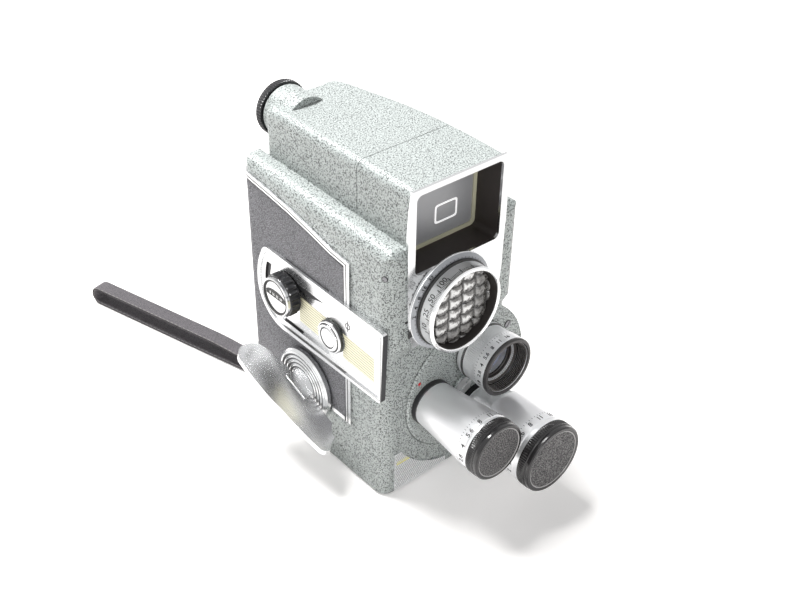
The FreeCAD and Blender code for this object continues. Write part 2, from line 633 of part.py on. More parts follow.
# Finder
def finder():
    """Hood with its open tunnel, the lining and glass in it, and the housing behind the seam."""
    hood = body("finder_hood")
    made = sketch(hood, "XY", "deck_seat")
    outline(made, [
        ("-head_half", "block_face"), ("head_half + 1", "block_face", "-0.4"),
        ("head_half + 1.7", "hood_back - 0.15"), ("-head_half", "hood_back - 0.15"),
    ])
    pad(hood, made, "head_top - deck_seat")
    soften(hood, lambda e: e.BoundBox.ZMin > 149.9 and e.BoundBox.YLength > 20, 3.6)
    mouth = sketch(hood, "XZ", "block_face - 1")
    rounded(mouth, "window_left - 0.5", "window_foot - 0.5", "window_right + 0.5", "window_top + 0.5", "3")
    pocket(hood, mouth, "glass_face + 2.2 - block_face + 1")

    lining = body("hood_lining")
    made = sketch(lining, "XZ", "block_face")
    rounded(made, "window_left - 0.5", "window_foot - 0.5", "window_right + 0.5", "window_top + 0.5", "3")
    rounded(made, "window_left", "window_foot", "window_right", "window_top", "2.6")
    pad(lining, made, "glass_face + 1.9 - block_face", back=True)

    frame = body("finder_frame")
    made = sketch(frame, "XZ", "glass_face")
    rounded(made, "window_left", "window_foot", "window_right", "window_top", "2.6")
    rounded(made, "window_left + 1.8", "window_foot + 1.8", "window_right - 1.8", "window_top - 1.8", "1.6")
    pad(frame, made, "0.5")

    glass = body("finder_front_glass")
    made = sketch(glass, "XZ", "glass_face")
    rounded(made, "window_left", "window_foot", "window_right", "window_top", "2.6")
    pad(glass, made, "1.4", back=True)

    back = body("finder_housing")
    made = sketch(back, "XY", "deck_seat")
    outline(made, [
        ("-head_half", "hood_back + 0.15"), ("head_half + 1.7", "hood_back + 0.15", "-1.2"),
        ("20.6", "28", "-0.4"), ("16.7", "45.4", "-2"), ("7.5", "48.2", "-0.6"),
        ("-18.5", "47.2", "-1.5"), ("-head_half", "41"),
    ])
    pad(back, made, "head_top - deck_seat")
    soften(back, lambda e: e.BoundBox.ZMin > 149.9 and e.BoundBox.YMax > -14, 3.6)
    boss = sketch(back, "XZ", "34")
    ring(boss, "finder_x", "finder_z", "finder_boss")
    pad(back, boss, "16.6", back=True)
    soften(back, lambda e: e.BoundBox.YMin > 50.4 and e.BoundBox.XLength > 20, 1.2)
    bore = sketch(back, "XZ", "60")
    ring(bore, "finder_x", "finder_z", "8")
    pocket(back, bore, "16", back=True)
    groove = sketch(back, "XY", "deck_seat - 2")
    rounded(groove, "-head_half + 3", "-11", "15", "30", "3")
    pocket(back, groove, "18", back=True)

    rear = body("finder_rear_lens")
    turned(rear, [("0", "0"), ("7.95", "0"), ("7.95", "1.8", "-0.18"), ("0.5", "2.6"), ("0", "2.6")])
    place(rear, "finder_x", "44.6", "finder_z", REAR_AXES)

    cup = body("eyepiece_ring")
    turned(cup, [
        ("6.6", "-2.8"), ("7.9", "-2.8"), ("7.9", "0.3"), ("12", "0.3"), ("12.3", "0.7"),
        ("12.3", "3.2"), ("11.6", "4"), ("9.6", "4"), ("7.6", "2.4"),
    ])
    place(cup, "finder_x", "50.6", "finder_z", REAR_AXES)


def soften(owner, chosen, radius):
    """Round the chosen edges of the body's present shape."""
    doc.recompute()
    block = owner.Tip
    edges = [f"Edge{i}" for i, e in enumerate(owner.Shape.Edges, 1) if chosen(e)]
    feature = owner.newObject("PartDesign::Fillet", f"{owner.Name}_round")
    feature.Base = (block, edges)
    feature.Radius = radius
    doc.recompute()


# Side trim, leather and controls
def casing_plan(grow):
    """Plan of the casing grown by a distance, as a solid far taller than the camera."""
    left = -worth("half_width") - grow
    right = worth("door_half") + grow
    front = worth("wall_face") - grow
    rear = worth("rear_face") + grow
    radii = (worth("corner_front") + grow, worth("corner_rear") + grow)
    block = Part.makeBox(right - left, rear - front, 200, FreeCAD.Vector(left, front, -20))
    for radius, level in zip(radii, (front, rear)):
        upright = [e for e in block.Edges if e.BoundBox.ZLength > 100 and abs(e.BoundBox.Center.y - level) < 1e-6]
        block = block.makeFillet(radius, upright)
    return block


def panel_face(top, front, foot):
    """Side view of the covered panel, drawn in by the three distances."""
    low = worth("panel_foot") + foot
    fore = worth("panel_front") + front
    points = [(fore, low), (FAR, low), (FAR, 125.2 - top), (46, 123 - top), (29.8, 120.9 - top),
              (16.3, 118.9 - top), (3.1, 116.2 - top), (-9.6, 113.2 - top),
              (fore, worth("panel_top_front") - top)]
    spots = [FreeCAD.Vector(-FAR, y, z) for y, z in points]
    return Part.Face(Part.makePolygon(spots + spots[:1]))


def plate_face(grow):
    """Side view of the control plate, grown by a distance."""
    def spot(y, z):
        return FreeCAD.Vector(-FAR, y, z)

    corner = 2.2 + grow
    front = spot(-42.6 - corner, 88.6)
    brow = spot(-42.6 - 0.7071 * corner, 88.6 + 0.7071 * corner)
    peak = spot(-42.6, 88.6 + corner)
    foot = spot(-41.4 - corner, 57.2)
    toe = spot(-41.4 - 0.7071 * corner, 57.2 - 0.7071 * corner)
    sole = spot(-41.4, 57.2 - corner)
    low = spot(22, 54.4 - grow)
    heel = spot(35.2 + 0.7 * grow, 59.6 - 0.7 * grow)
    back = spot(40.4 + grow, 72)
    rise = spot(39.3 + grow, 81.5)
    neck = spot(36.2 + grow, 89 + 0.4 * grow)
    crest = spot(34.4 + 0.7 * grow, 91.6 + 0.7 * grow)
    top = spot(31.6, 92.7 + grow)
    sides = [Part.LineSegment(front, foot), Part.Arc(foot, toe, sole), Part.LineSegment(sole, low),
             Part.Arc(low, heel, back), Part.Arc(back, rise, neck), Part.Arc(neck, crest, top),
             Part.LineSegment(top, peak), Part.Arc(peak, brow, front)]
    return Part.Face(Part.Wire([s.toShape() for s in sides]))


def well_face():
    """Side view of the deeper field round the speed dial."""
    spots = [(-9.2, 84.4), (-9.2, 59.4), (20.5, 59.4), (31.2, 62.8), (35.2, 72), (35, 78.5),
             (33.8, 83.4), (33.2, 84.6), (32, 85)]
    top, foot, low, heel, back, rise, neck, crest, end = [FreeCAD.Vector(-FAR, y, z) for y, z in spots]
    sides = [Part.LineSegment(top, foot), Part.LineSegment(foot, low), Part.Arc(low, heel, back),
             Part.Arc(back, rise, neck), Part.Arc(neck, crest, end), Part.LineSegment(end, top)]
    return Part.Face(Part.Wire([s.toShape() for s in sides]))


def through(face, low, high):
    """Side-view face as a solid between two stations across the camera."""
    solid = face.extrude(FreeCAD.Vector(high - low, 0, 0))
    solid.translate(FreeCAD.Vector(FAR + low, 0, 0))
    return solid


def coverings():
    """Leather and its bright frame, wrapped round the rear corner on both sides of the casing."""
    leather = worth("leather")
    rise = worth("trim_rise")
    casing = casing_plan(0)
    skin = casing_plan(leather).cut(casing)
    band = casing_plan(rise).cut(casing)
    inner = panel_face(3.4, 3.6, 2.0)
    outer = panel_face(0, 0, 0)
    split = worth("hinge_x - knuckle - 0.4")
    plate = through(plate_face(0.05), -60, 0)
    key_side = skin.common(through(inner, -60, split)).cut(plate)
    frame = band.common(through(outer, -60, split)).cut(through(inner, -61, split + 1)).cut(plate)
    shaped("leather_key_side", key_side.cut(disc(3.3, -60, 0, *KEY_SPOT)))
    shaped("side_trim", frame)
    edge = worth("hinge_x + knuckle + 0.4")
    latch = Part.makeCylinder(9, 20, FreeCAD.Vector(25, -28, 62), FreeCAD.Vector(1, 0, 0))
    shaped("leather_door", skin.common(through(inner, edge, 60)).cut(latch))
    shaped("door_trim", band.common(through(outer, edge, 60)).cut(through(inner, edge - 1, 60)).cut(latch))


def control_plate():
    """Polished plate along the key side with a raised lip, a sunk field and two openings."""
    full = through(plate_face(0), -worth("half_width") - 2.2, -worth("half_width"))
    field = through(plate_face(-2), -worth("half_width") - 3, -worth("half_width") - 1.6)
    dial = (worth("dial_y"), worth("dial_z"))
    button = (worth("button_y"), worth("button_z"))
    floor = -worth("half_width") - 0.6
    sunk = through(well_face(), floor - 1.2, floor)
    holes = disc(worth("2.05"), -60, 0, *dial).fuse(disc(7.7, -60, 0, *button))
    shape = full.cut(field).cut(sunk).cut(holes)
    shaped("control_plate", shape)


def side_piece(label, y, z, points, station="-half_width"):
    """Turned piece on the key side; heights are measured outward from the station."""
    owner = body(label)
    turned(owner, points)
    place(owner, station, y, z, PLATE_AXES)
    return owner


def controls():
    """Speed dial and run button."""
    side_piece("speed_dial", "dial_y", "dial_z", [
        ("0", "-5"), ("3.2", "-5"), ("3.2", "-3.6"), ("2", "-3.6"), ("2", "2"), ("9.4", "2"),
        ("9.8", "2.4"), ("9.8", "6.3"), ("9.4", "6.8"), ("8.9", "7"), ("8.9", "8.3"),
        ("8.5", "8.8"), ("7.6", "8.8"), ("7.2", "8.2"), ("0", "8.2"),
    ])
    side_piece("run_button", "button_y", "button_z", [
        ("0", "-5"), ("4", "-5"), ("4", "-4.2"), ("2.5", "-4.2"), ("2.5", "2.3"), ("7.4", "2.3"),
        ("7.4", "3.4"), ("7", "4"), ("6.2", "4.2"), ("6", "4.7"), ("5.4", "5"),
        ("4.8", "4.7"), ("0", "4.7"),
    ])


def winding_key():
    """Round hub on the winding arbor, and the wing that folds out of it."""
    side_piece("winding_key", "key_y", "key_z", [
        ("0", "-29.2"), ("3", "-29.2"), ("3", "0"), ("16.6", "0"), ("key_radius", "0.5"),
        ("key_radius", "2.2"), ("16.2", "3"), ("0", "3"),
    ], "-half_width - 1.2")
    hub = PIECES[-1]
    along = FreeCAD.Vector(0, -math.cos(math.radians(20)), -math.sin(math.radians(20)))
    outward = FreeCAD.Vector(-1, 0, 0)
    lever = FreeCAD.Rotation(along, outward, along.cross(outward), "XYZ")
    doc.recompute()
    block = sketch(hub, "XY", "2")
    corners = [("wing_turn + 167", "7.2"), ("wing_turn + 193", "7.2"), ("wing_turn - 13", "7.2"), ("wing_turn + 13", "7.2")]
    outline(block, [(f"{r} * cos({t})", f"{r} * sin({t})") for t, r in corners])
    pad(hub, block, "wing_pivot - half_width - 1.2")
    soften(hub, lambda e: e.BoundBox.XMax < -worth("wing_pivot + 1.9"), 0.9)
    bore = hub.newObject("PartDesign::SubtractiveCylinder", "pin_bore")
    bore.Radius = 0.9
    bore.Height = 30
    turn = math.radians(worth("wing_turn"))
    side = FreeCAD.Vector(math.cos(turn), math.sin(turn), 0)
    level = FreeCAD.Vector(0, 0, worth("wing_pivot - half_width - 1.2"))
    bore.Placement = FreeCAD.Placement(level - side * 15, FreeCAD.Rotation(FreeCAD.Vector(0, 0, 1), side))
    pin_body = body("wing_pin")
    turned(pin_body, [("0", "-12.6"), ("0.9", "-12.6"), ("0.9", "12.6"), ("0", "12.6")])
    pin_body.Placement = FreeCAD.Placement(FreeCAD.Vector(-worth("wing_pivot"), *KEY_SPOT),
                                           FreeCAD.Rotation(FreeCAD.Vector(0, 0, 1), along))

    wing = body("key_wing")
    made = sketch(wing, "XY")
    outline(made, [
        ("-23", "wing_pivot + 0.8", "-0.5"), ("-7.6", "wing_pivot - 1.7"), ("-7.6", "wing_pivot + 2.4"),
        ("7.6", "wing_pivot + 2.4"), ("7.6", "wing_pivot - 1.7"), ("23.5", "wing_pivot - 1.7", "0.8"),
        ("29.6", "wing_pivot + 1.6", "0.5"), ("wing_reach - 0.5", "wing_pivot + 6.8", "-0.9"),
        ("wing_reach - 3", "wing_pivot + 10.5", "-0.35"), ("6", "wing_pivot + 13.4", "-0.3"),
        ("-8", "wing_pivot + 14.6", "-0.2"), ("-23", "wing_pivot + 14.4", "-2.2"),
        ("-29.5", "wing_pivot + 7.5", "-1.4"),
    ])
    pad(wing, made, "3", middle=True)
    bore = sketch(wing, "YZ", "-12.8")
    ring(bore, "wing_pivot", "0", "0.95")
    pocket(wing, bore, "25.6", back=True)
    place(wing, "0", "key_y", "key_z", lever)


def nameplate():
    """Plain plate in the lower corner of the front wall; its upper edge follows the turret boss."""
    radius = worth("turret_boss") + 0.8
    centre = FreeCAD.Vector(worth("turret_x"), 0, worth("turret_z"))
    plate = Part.makeBox(29.8, 0.6, 20.5, FreeCAD.Vector(-27.4, worth("wall_face") - 0.6, 1.8))
    boss = Part.makeCylinder(radius, 20, FreeCAD.Vector(centre.x, -60, centre.z), FreeCAD.Vector(0, 1, 0))
    shaped("nameplate", plate.cut(boss))


# Clockwork
def arbor_piece(label, spot, wheels, shaft, extra=()):
    """Arbor along X with its wheels; the wheels are (unit, teeth, start, end, phase)."""
    solid = disc(shaft[0], shaft[1], shaft[2])
    for unit, teeth, start, end, phase in wheels:
        solid = solid.fuse(gear(unit, teeth, start, end, phase))
    for radius, start, end in extra:
        solid = solid.fuse(disc(radius, start, end))
    return shaped(label, solid, *spot)


def clockwork():
    """Barrel and great wheel, the two-stage train, the governor and the take-up drive."""
    coarse = worth("gear_unit")
    fine = worth("fine_unit")
    teeth = {name: int(worth(f"{name}_teeth")) for name in
             ("great", "pinion", "back", "takeup", "second", "shutter_wheel", "shutter_pinion")}
    barrel = disc(22, -26, -8).cut(disc(3.05, -30, 0)).cut(disc(20.6, -24.8, -9.2))
    shaped("mainspring_barrel", barrel, *KEY_SPOT)
    great = gear(coarse, teeth["great"], -7.6, -5.2, 0.0)
    shaped("great_wheel", great.cut(disc(3.05, -30, 0)).fuse(disc(6, -8, -7.6).cut(disc(3.05, -30, 0))), *KEY_SPOT)
    # Phases run along each pair's line of centres, so that every tooth faces a gap
    line = heading(KEY_SPOT, BACK_SPOT)
    first = meshing(0.0, teeth["great"], teeth["pinion"], line)
    back_phase = 0.0
    arbor_piece("back_arbor", BACK_SPOT, [
        (coarse, teeth["pinion"], -7.6, -5.2, first), (coarse, teeth["back"], -4.2, -2.2, back_phase),
    ], (1, -12, 4), [(2.6, -5.2, -4.2), (1.8, -10.3, -7.6), (1.8, -2.2, 1.7)])
    takeup = meshing(back_phase, teeth["back"], teeth["takeup"], line + math.pi)
    shaped("takeup_drive", gear(coarse, teeth["takeup"], -4.2, -2.2, takeup)
           .fuse(disc(2, -2.2, 22)).fuse(disc(3.4, -2.2, 1.7)), *KEY_SPOT)
    onward = heading(BACK_SPOT, SECOND_SPOT)
    second = meshing(back_phase, teeth["back"], teeth["second"], onward)
    arbor_piece("second_arbor", SECOND_SPOT, [
        (coarse, teeth["second"], -4.6, -1.8, second), (fine, teeth["shutter_wheel"], -9.6, -8.2, 0.0),
    ], (1, -12, 4), [(1.8, -8.2, -4.6), (1.8, -1.8, 1.7), (1.8, -10.3, -9.6)])
    drive = meshing(0.0, teeth["shutter_wheel"], teeth["shutter_pinion"], heading(SECOND_SPOT, DRIVE_SPOT))
    arbor_piece("drive_arbor", DRIVE_SPOT, [(fine, teeth["shutter_pinion"], -9.8, -5.2, drive)],
                (1, -12, -4.6), [(1.6, -10.3, -9.8)])
    spin = meshing(0.0, teeth["shutter_wheel"], teeth["shutter_pinion"], heading(SECOND_SPOT, GOVERNOR_SPOT))
    arbor_piece("governor", GOVERNOR_SPOT, [(fine, teeth["shutter_pinion"], -9.8, -8, spin)],
                           (1, -12, 4), [(4, -6.4, -1.4), (1.6, -8, -6.4), (1.6, -1.4, 1.7), (1.6, -10.3, -9.8)])
    return drive


def crown_gear(drive):
    """Shutter disc, its shaft and the face gear that the drive pinion turns.

    The gear is turned so that one of its teeth stands in the gap of the pinion that faces it.
    """
    step = 2 * math.pi / worth("shutter_pinion_teeth")
    gap = (math.pi - drive) / step - 0.5
    lag = (round(gap) - gap) * step * worth("shutter_pinion_teeth / crown_teeth")
    count = int(worth("crown_teeth"))
    pitch = worth("fine_unit") * count / 2
    base = Part.makeCylinder(8.7, 1.0, FreeCAD.Vector(0, 0, 0.6))
    base = base.fuse(Part.makeCylinder(1.5, 6.2, FreeCAD.Vector(0, 0, -3.2)))
    turn = 2 * math.pi / count
    for index in range(count):
        middle = index * turn - lag
        corners = []
        for level, half in ((1.5, 0.30 * turn), (2.6, 0.155 * turn)):
            wire = []
            for radius, side in ((pitch - 1.1, -1), (8.7, -1), (8.7, 1), (pitch - 1.1, 1)):
                angle = middle + side * half
                wire.append(FreeCAD.Vector(radius * math.cos(angle), radius * math.sin(angle), level))
            corners.append(Part.makePolygon(wire + wire[:1]))
        base = base.fuse(Part.makeLoft(corners, True, True))
    made = keep(doc.addObject("Part::Feature", "crown_wheel"), "crown_wheel")
    made.Shape = base.removeSplitter()
    made.Placement = FreeCAD.Placement(FreeCAD.Vector(worth("shutter_x"), -35.4, worth("shutter_z")), REAR_AXES)

    owner = body("shutter_disc")
    made = sketch(owner, "XY")
    ring(made, "0", "0", "shutter_radius")
    ring(made, "0", "0", "1.5")
    pad(owner, made, "0.5", back=True)
    cut = sketch(owner, "XY", "1")
    outline(cut, [
        ("9 * cos(100)", "9 * sin(100)"), ("32 * cos(100)", "32 * sin(100)"), ("-32", "32"),
        ("-36", "-32"), ("32 * cos(250)", "32 * sin(250)"), ("9 * cos(250)", "9 * sin(250)", "-4.5"),
    ])
    pocket(owner, cut, "4")
    place(owner, "shutter_x", "-35.4", "shutter_z", REAR_AXES)


def plates():
    """Mechanism plate beside the film, the bridge of the train on its posts, and the film gate."""
    owner = body("mechanism_plate")
    made = sketch(owner, "YZ", "plate_x")
    outline(made, [
        ("-31.6", "7.2"), ("cavity_rear", "7.2"), ("cavity_rear", "117.8"), ("-28", "117.8"),
        ("-28", "80"), ("-31.6", "80"),
    ])
    for spot in (BACK_SPOT, SECOND_SPOT, GOVERNOR_SPOT):
        ring(made, str(spot[0]), str(spot[1]), "1.05")
    ring(made, "key_y", "key_z", "2.05")
    ring(made, "supply_y", "supply_z", "2.05")
    pad(owner, made, "plate_thick")

    bridge = body("train_bridge")
    made = sketch(bridge, "YZ", "-12")
    outline(made, [
        ("-33.6", "22.5"), ("-16.5", "22.5"), ("-17", "36"), ("-17", "50"), ("-6", "62"),
        ("-6", "74"), ("-33.6", "74"),
    ])
    for spot in (BACK_SPOT, SECOND_SPOT, GOVERNOR_SPOT, DRIVE_SPOT):
        ring(made, str(spot[0]), str(spot[1]), "1.05")
    pad(bridge, made, "1.4")
    posts = sketch(bridge, "YZ", "-11")
    for y, z in (("-30", "70"), ("-18.6", "25"), ("-8", "72")):
        ring(posts, y, z, "1.5")
    pad(bridge, posts, "13")

    gate = body("gate_plate")
    made = sketch(gate, "XZ", "-33")
    outline(made, [("10.5", "30"), ("24.3", "30"), ("24.3", "86"), ("10.5", "86")])
    x, z = lens_spot("lens_turn")
    rectangle(made, f"{x} - 2.4", f"{z} - 1.75", f"{x} + 2.4", f"{z} + 1.75")
    rectangle(made, "11.2", "42.6", "13.2", "55.6")
    pad(gate, made, "1.4", back=True)
    for low in ("30", "83"):
        foot = sketch(gate, "XY", low)
        rectangle(foot, "13", "cavity_front", "22", "-32")
        pad(gate, foot, "3")

    press = body("pressure_plate")
    made = sketch(press, "XZ", "-31")
    rounded(made, "10.6", "45", "23.6", "71", "1.5")
    pad(press, made, "1", back=True)
    pins = sketch(press, "XZ", "-30.2")
    ring(pins, "17", "50", "1")
    ring(pins, "17", "66", "1")
    pad(press, pins, "4.4", back=True)

    claw = body("film_claw")
    made = sketch(claw, "YZ", "11.5")
    outline(made, [
        ("-34.6", "43.4"), ("-33.3", "43.4"), ("-33.3", "49.6"), ("-31.2", "49.8"), ("-31.4", "50.6"),
        ("-33.3", "51"), ("-33.3", "52"), ("-34.6", "52"),
    ])
    pad(claw, made, "1.4")

    spindle = body("supply_spindle")
    turned(spindle, [
        ("0", "-1.8"), ("2", "-1.8"), ("2", "0.3"), ("6", "0.3"), ("6", "1.2"), ("3.9", "1.4"),
        ("3.9", "14"), ("3", "15"), ("0", "15"),
    ])
    place(spindle, "plate_x + plate_thick", "supply_y", "supply_z", FreeCAD.Rotation(FreeCAD.Vector(0, 1, 0), 90))


def takeup_spool():
    """Empty film spool on the take-up shaft: two flanges with three windows and a slotted core."""
    owner = body("takeup_spool")
    turned(owner, [
        ("2.02", "0"), ("spool_radius", "0"), ("spool_radius", "0.8"), ("8.3", "0.8"),
        ("8.3", "spool_width - 0.8"), ("spool_radius", "spool_width - 0.8"),
        ("spool_radius", "spool_width"), ("2.02", "spool_width"),
    ])
    doc.recompute()
    windows = sketch(owner, "XY", "spool_width + 1")
    for turn in (0, 120, 240):
        ring(windows, f"16.6 * cos({turn})", f"16.6 * sin({turn})", "5")
    pocket(owner, windows, "30")
    place(owner, "spool_start", "key_y", "key_z", FreeCAD.Rotation(FreeCAD.Vector(0, 1, 0), 90))


# Base, lug and strap
def base_pieces():
    owner = body("tripod_bush")
    turned(owner, [
        ("socket_radius", "0"), ("5.15", "0"), ("5.15", "floor_top"), ("7", "floor_top"),
        ("7", "5.4"), ("6", "6.4"), ("socket_radius", "6.4"),
    ])
    lug = body("strap_lug")
    made = sketch(lug, "XY", "lug_z - 3.5")
    rectangle(made, "lug_x - 6.8", "rear_face", "lug_x + 6.8", "rear_face + 1")
    pad(lug, made, "7")
    for left in ("lug_x - 6.8", "lug_x + 5.6"):
        ear = sketch(lug, "YZ", left)
        outline(ear, [("rear_face", "lug_z - 3.5"), ("rear_face + strap_bar + 1.4", "lug_z - 1.6"),
                      ("rear_face + strap_bar + 1.4", "lug_z + 1.6"), ("rear_face", "lug_z + 3.5")])
        pad(lug, ear, "1.2")
    bar = sketch(lug, "YZ", "lug_x - 6.2")
    ring(bar, "rear_face + strap_bar", "lug_z", "1")
    pad(lug, bar, "12.4")


def wrist_strap():
    """Flat leather loop that hangs from the lug bar and lies on the table behind the camera."""
    reach = worth("strap_length")
    thick = worth("strap_thick")
    half = worth("strap_width") / 2
    ends = ((0.0, worth("lug_z"), 2.2 + thick), (reach - 8, 5.2, 5.2))

    def belt(shrink):
        circles = [(d, z, r - shrink) for d, z, r in ends]
        (d0, z0, r0), (d1, z1, r1) = circles
        tilt = math.atan2(z1 - z0, d1 - d0)
        lean = math.acos((r0 - r1) / math.hypot(d1 - d0, z1 - z0))
        spots = []
        for side in (1, -1):
            for d, z, r in circles:
                turn = tilt + side * lean
                spots.append(FreeCAD.Vector(d + r * math.cos(turn), -half, z + r * math.sin(turn)))
        back = FreeCAD.Vector(d0 - r0 * math.cos(tilt), -half, z0 - r0 * math.sin(tilt))
        front = FreeCAD.Vector(d1 + r1 * math.cos(tilt), -half, z1 + r1 * math.sin(tilt))
        sides = [Part.LineSegment(spots[0], spots[1]), Part.Arc(spots[1], front, spots[3]),
                 Part.LineSegment(spots[3], spots[2]), Part.Arc(spots[2], back, spots[0])]
        return Part.Face(Part.Wire([s.toShape() for s in sides]))

    across = FreeCAD.Vector(0, 2 * half, 0)
    loop = belt(0).extrude(across).cut(belt(thick).extrude(across))
    made = keep(doc.addObject("Part::Feature", "wrist_strap"), "wrist_strap")
    made.Shape = loop
    turn = FreeCAD.Rotation(FreeCAD.Vector(0, 0, 1), 90 + worth("strap_lean"))
    foot = FreeCAD.Vector(worth("lug_x"), worth("rear_face + strap_bar"), 0)
    made.Placement = FreeCAD.Placement(foot, turn)


main_housing()
film_door()
hinge_pins()
door_latch()
turret_disc()
lenses()
electric_eye()
front_bezel()
finder()
coverings()
control_plate()
controls()
winding_key()
nameplate()
crown_gear(clockwork())
plates()
takeup_spool()
base_pieces()
wrist_strap()

doc.recompute()
for made in doc.Objects:
    if "Invalid" in made.State or "Error" in made.State:
        raise RuntimeError(f"{made.Name} has not been worked out: {made.State}")
for made in PIECES:
    shape = made.Shape
    if shape.isNull() or not shape.isValid() or shape.Volume <= 0:
        raise RuntimeError(f"{made.Label} has no sound solid")
    shape.exportStep(f"parts/{made.Label}.step")
    box = shape.BoundBox
    print(f"{made.Label:20s} {len(shape.Solids)} {shape.Volume:9.0f}  "
          f"x {box.XMin:6.1f} {box.XMax:6.1f}  y {box.YMin:6.1f} {box.YMax:6.1f}  z {box.ZMin:6.1f} {box.ZMax:6.1f}")
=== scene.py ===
"""Looks of the spring-driven cine camera: finishes for its CAD pieces, and the fine pieces that dress them.

Lengths are in millimetres: a Seat turns a piece's lengths into the frame's metres, and a Finish reads the
shader's point in millimetres. The stage is laid out in metres, and a noise's scale is its grains to a metre.
"""

import json
import math

import bmesh
import bpy
import numpy as np
from bpy.props import FloatProperty, FloatVectorProperty, PointerProperty
from mathutils import Matrix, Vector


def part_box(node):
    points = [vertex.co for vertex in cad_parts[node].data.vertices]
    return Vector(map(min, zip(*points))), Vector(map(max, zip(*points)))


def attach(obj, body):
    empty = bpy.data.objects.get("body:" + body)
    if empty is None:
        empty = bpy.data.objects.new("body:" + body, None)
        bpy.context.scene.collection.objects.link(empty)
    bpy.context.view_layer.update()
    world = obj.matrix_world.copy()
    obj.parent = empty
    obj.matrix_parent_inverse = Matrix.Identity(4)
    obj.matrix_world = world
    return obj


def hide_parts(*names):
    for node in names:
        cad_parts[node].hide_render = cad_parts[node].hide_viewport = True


bl_info = {
    "name": "Cine Camera Dresser",
    "version": (1, 0, 0),
    "blender": (4, 5, 0),
    "location": "3D View > Sidebar > Cine Camera",
    "description": "Dresses the packed cine camera with its finishes and fine pieces",
    "category": "Object",
}

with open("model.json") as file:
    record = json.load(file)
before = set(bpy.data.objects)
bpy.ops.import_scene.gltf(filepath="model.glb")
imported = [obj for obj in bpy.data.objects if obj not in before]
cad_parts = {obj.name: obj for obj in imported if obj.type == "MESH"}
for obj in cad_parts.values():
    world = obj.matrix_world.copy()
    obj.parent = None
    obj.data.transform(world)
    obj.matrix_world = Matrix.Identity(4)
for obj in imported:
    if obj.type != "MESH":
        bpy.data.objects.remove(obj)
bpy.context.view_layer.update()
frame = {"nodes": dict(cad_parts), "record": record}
NODES = frame["nodes"]
MM = 0.001
TAU = 2 * math.pi

# Places that several pieces share: across and up on the front, front to rear and up on the key side
TURRET = (9.3, 42.6)
TURRET_FACE = -43.8
PIVOT_FACE = -45.3
LENS_CIRCLE = 17.8
LENS_TURNS = {"normal": 60, "tele": 180, "wide": 300}
LENSES = {name: (TURRET[0] + LENS_CIRCLE * math.cos(math.radians(turn)),
                 TURRET[1] + LENS_CIRCLE * math.sin(math.radians(turn)))
          for name, turn in LENS_TURNS.items()}
EYE = (-3.1, 94.2)
EYE_FOOT = -47.0
DIAL = (18.3, 77.0)
BUTTON = (-12.2, 71.6)
KEY_HUB = (7.2, 34.4)

# Light cells of the eye: a corner where four of them meet, and the width and height of one
CELL_CORNER = (-1.68, 94.1)
CELL_SIZE = (7.02, 5.25)

# Lug bar that the strap turns round, and how far the strap swings from straight back
STRAP_BAR = (-22.7, 55.4, 4.4)
STRAP_LEAN = math.radians(15.5)

# Colours of the dark lines and parts on bright metal, and of the painted shade on it
BLACK = (0.03, 0.03, 0.03)
PAINTED_SHADE_GREY = (0.05, 0.05, 0.05)
LINE_GREY = (0.22, 0.22, 0.22)


# Shader maths
class Value:
    """A socket that takes part in Python expressions; each operator adds one Math node."""

    def __init__(self, finish, socket):
        self.finish = finish
        self.socket = socket

    def maths(self, operation, *terms):
        """A Math node on the terms, or on this value alone."""
        return self.finish.maths(operation, *(terms or (self,)))

    def __add__(self, other):
        return self.maths("ADD", self, other)

    def __sub__(self, other):
        return self.maths("SUBTRACT", self, other)

    def __rsub__(self, other):
        return self.maths("SUBTRACT", other, self)

    def __mul__(self, other):
        return self.maths("MULTIPLY", self, other)

    def __pow__(self, other):
        return self.maths("POWER", self, other)

    def __lt__(self, other):
        return self.maths("LESS_THAN", self, other)

    def __gt__(self, other):
        return self.maths("GREATER_THAN", self, other)

    __radd__ = __add__
    __rmul__ = __mul__

    def size(self):
        """The value without its sign."""
        return self.maths("ABSOLUTE")

    def larger(self, other):
        return self.maths("MAXIMUM", self, other)

    def smaller(self, other):
        return self.maths("MINIMUM", self, other)

    def between(self, low, high):
        """1 where low < value < high, else 0."""
        return (self > low) * (self < high)

    def cycle(self, step):
        """How far the value is through its present step, from 0 to 1."""
        return (self * (1 / step)).maths("FRACT")

    def ramp(self, low, high, start=0.0, end=1.0):
        """Straight line from start at low to end at high, held beyond both."""
        return self.finish.node("ShaderNodeMapRange", {"clamp": True}, self, low, high, start, end)


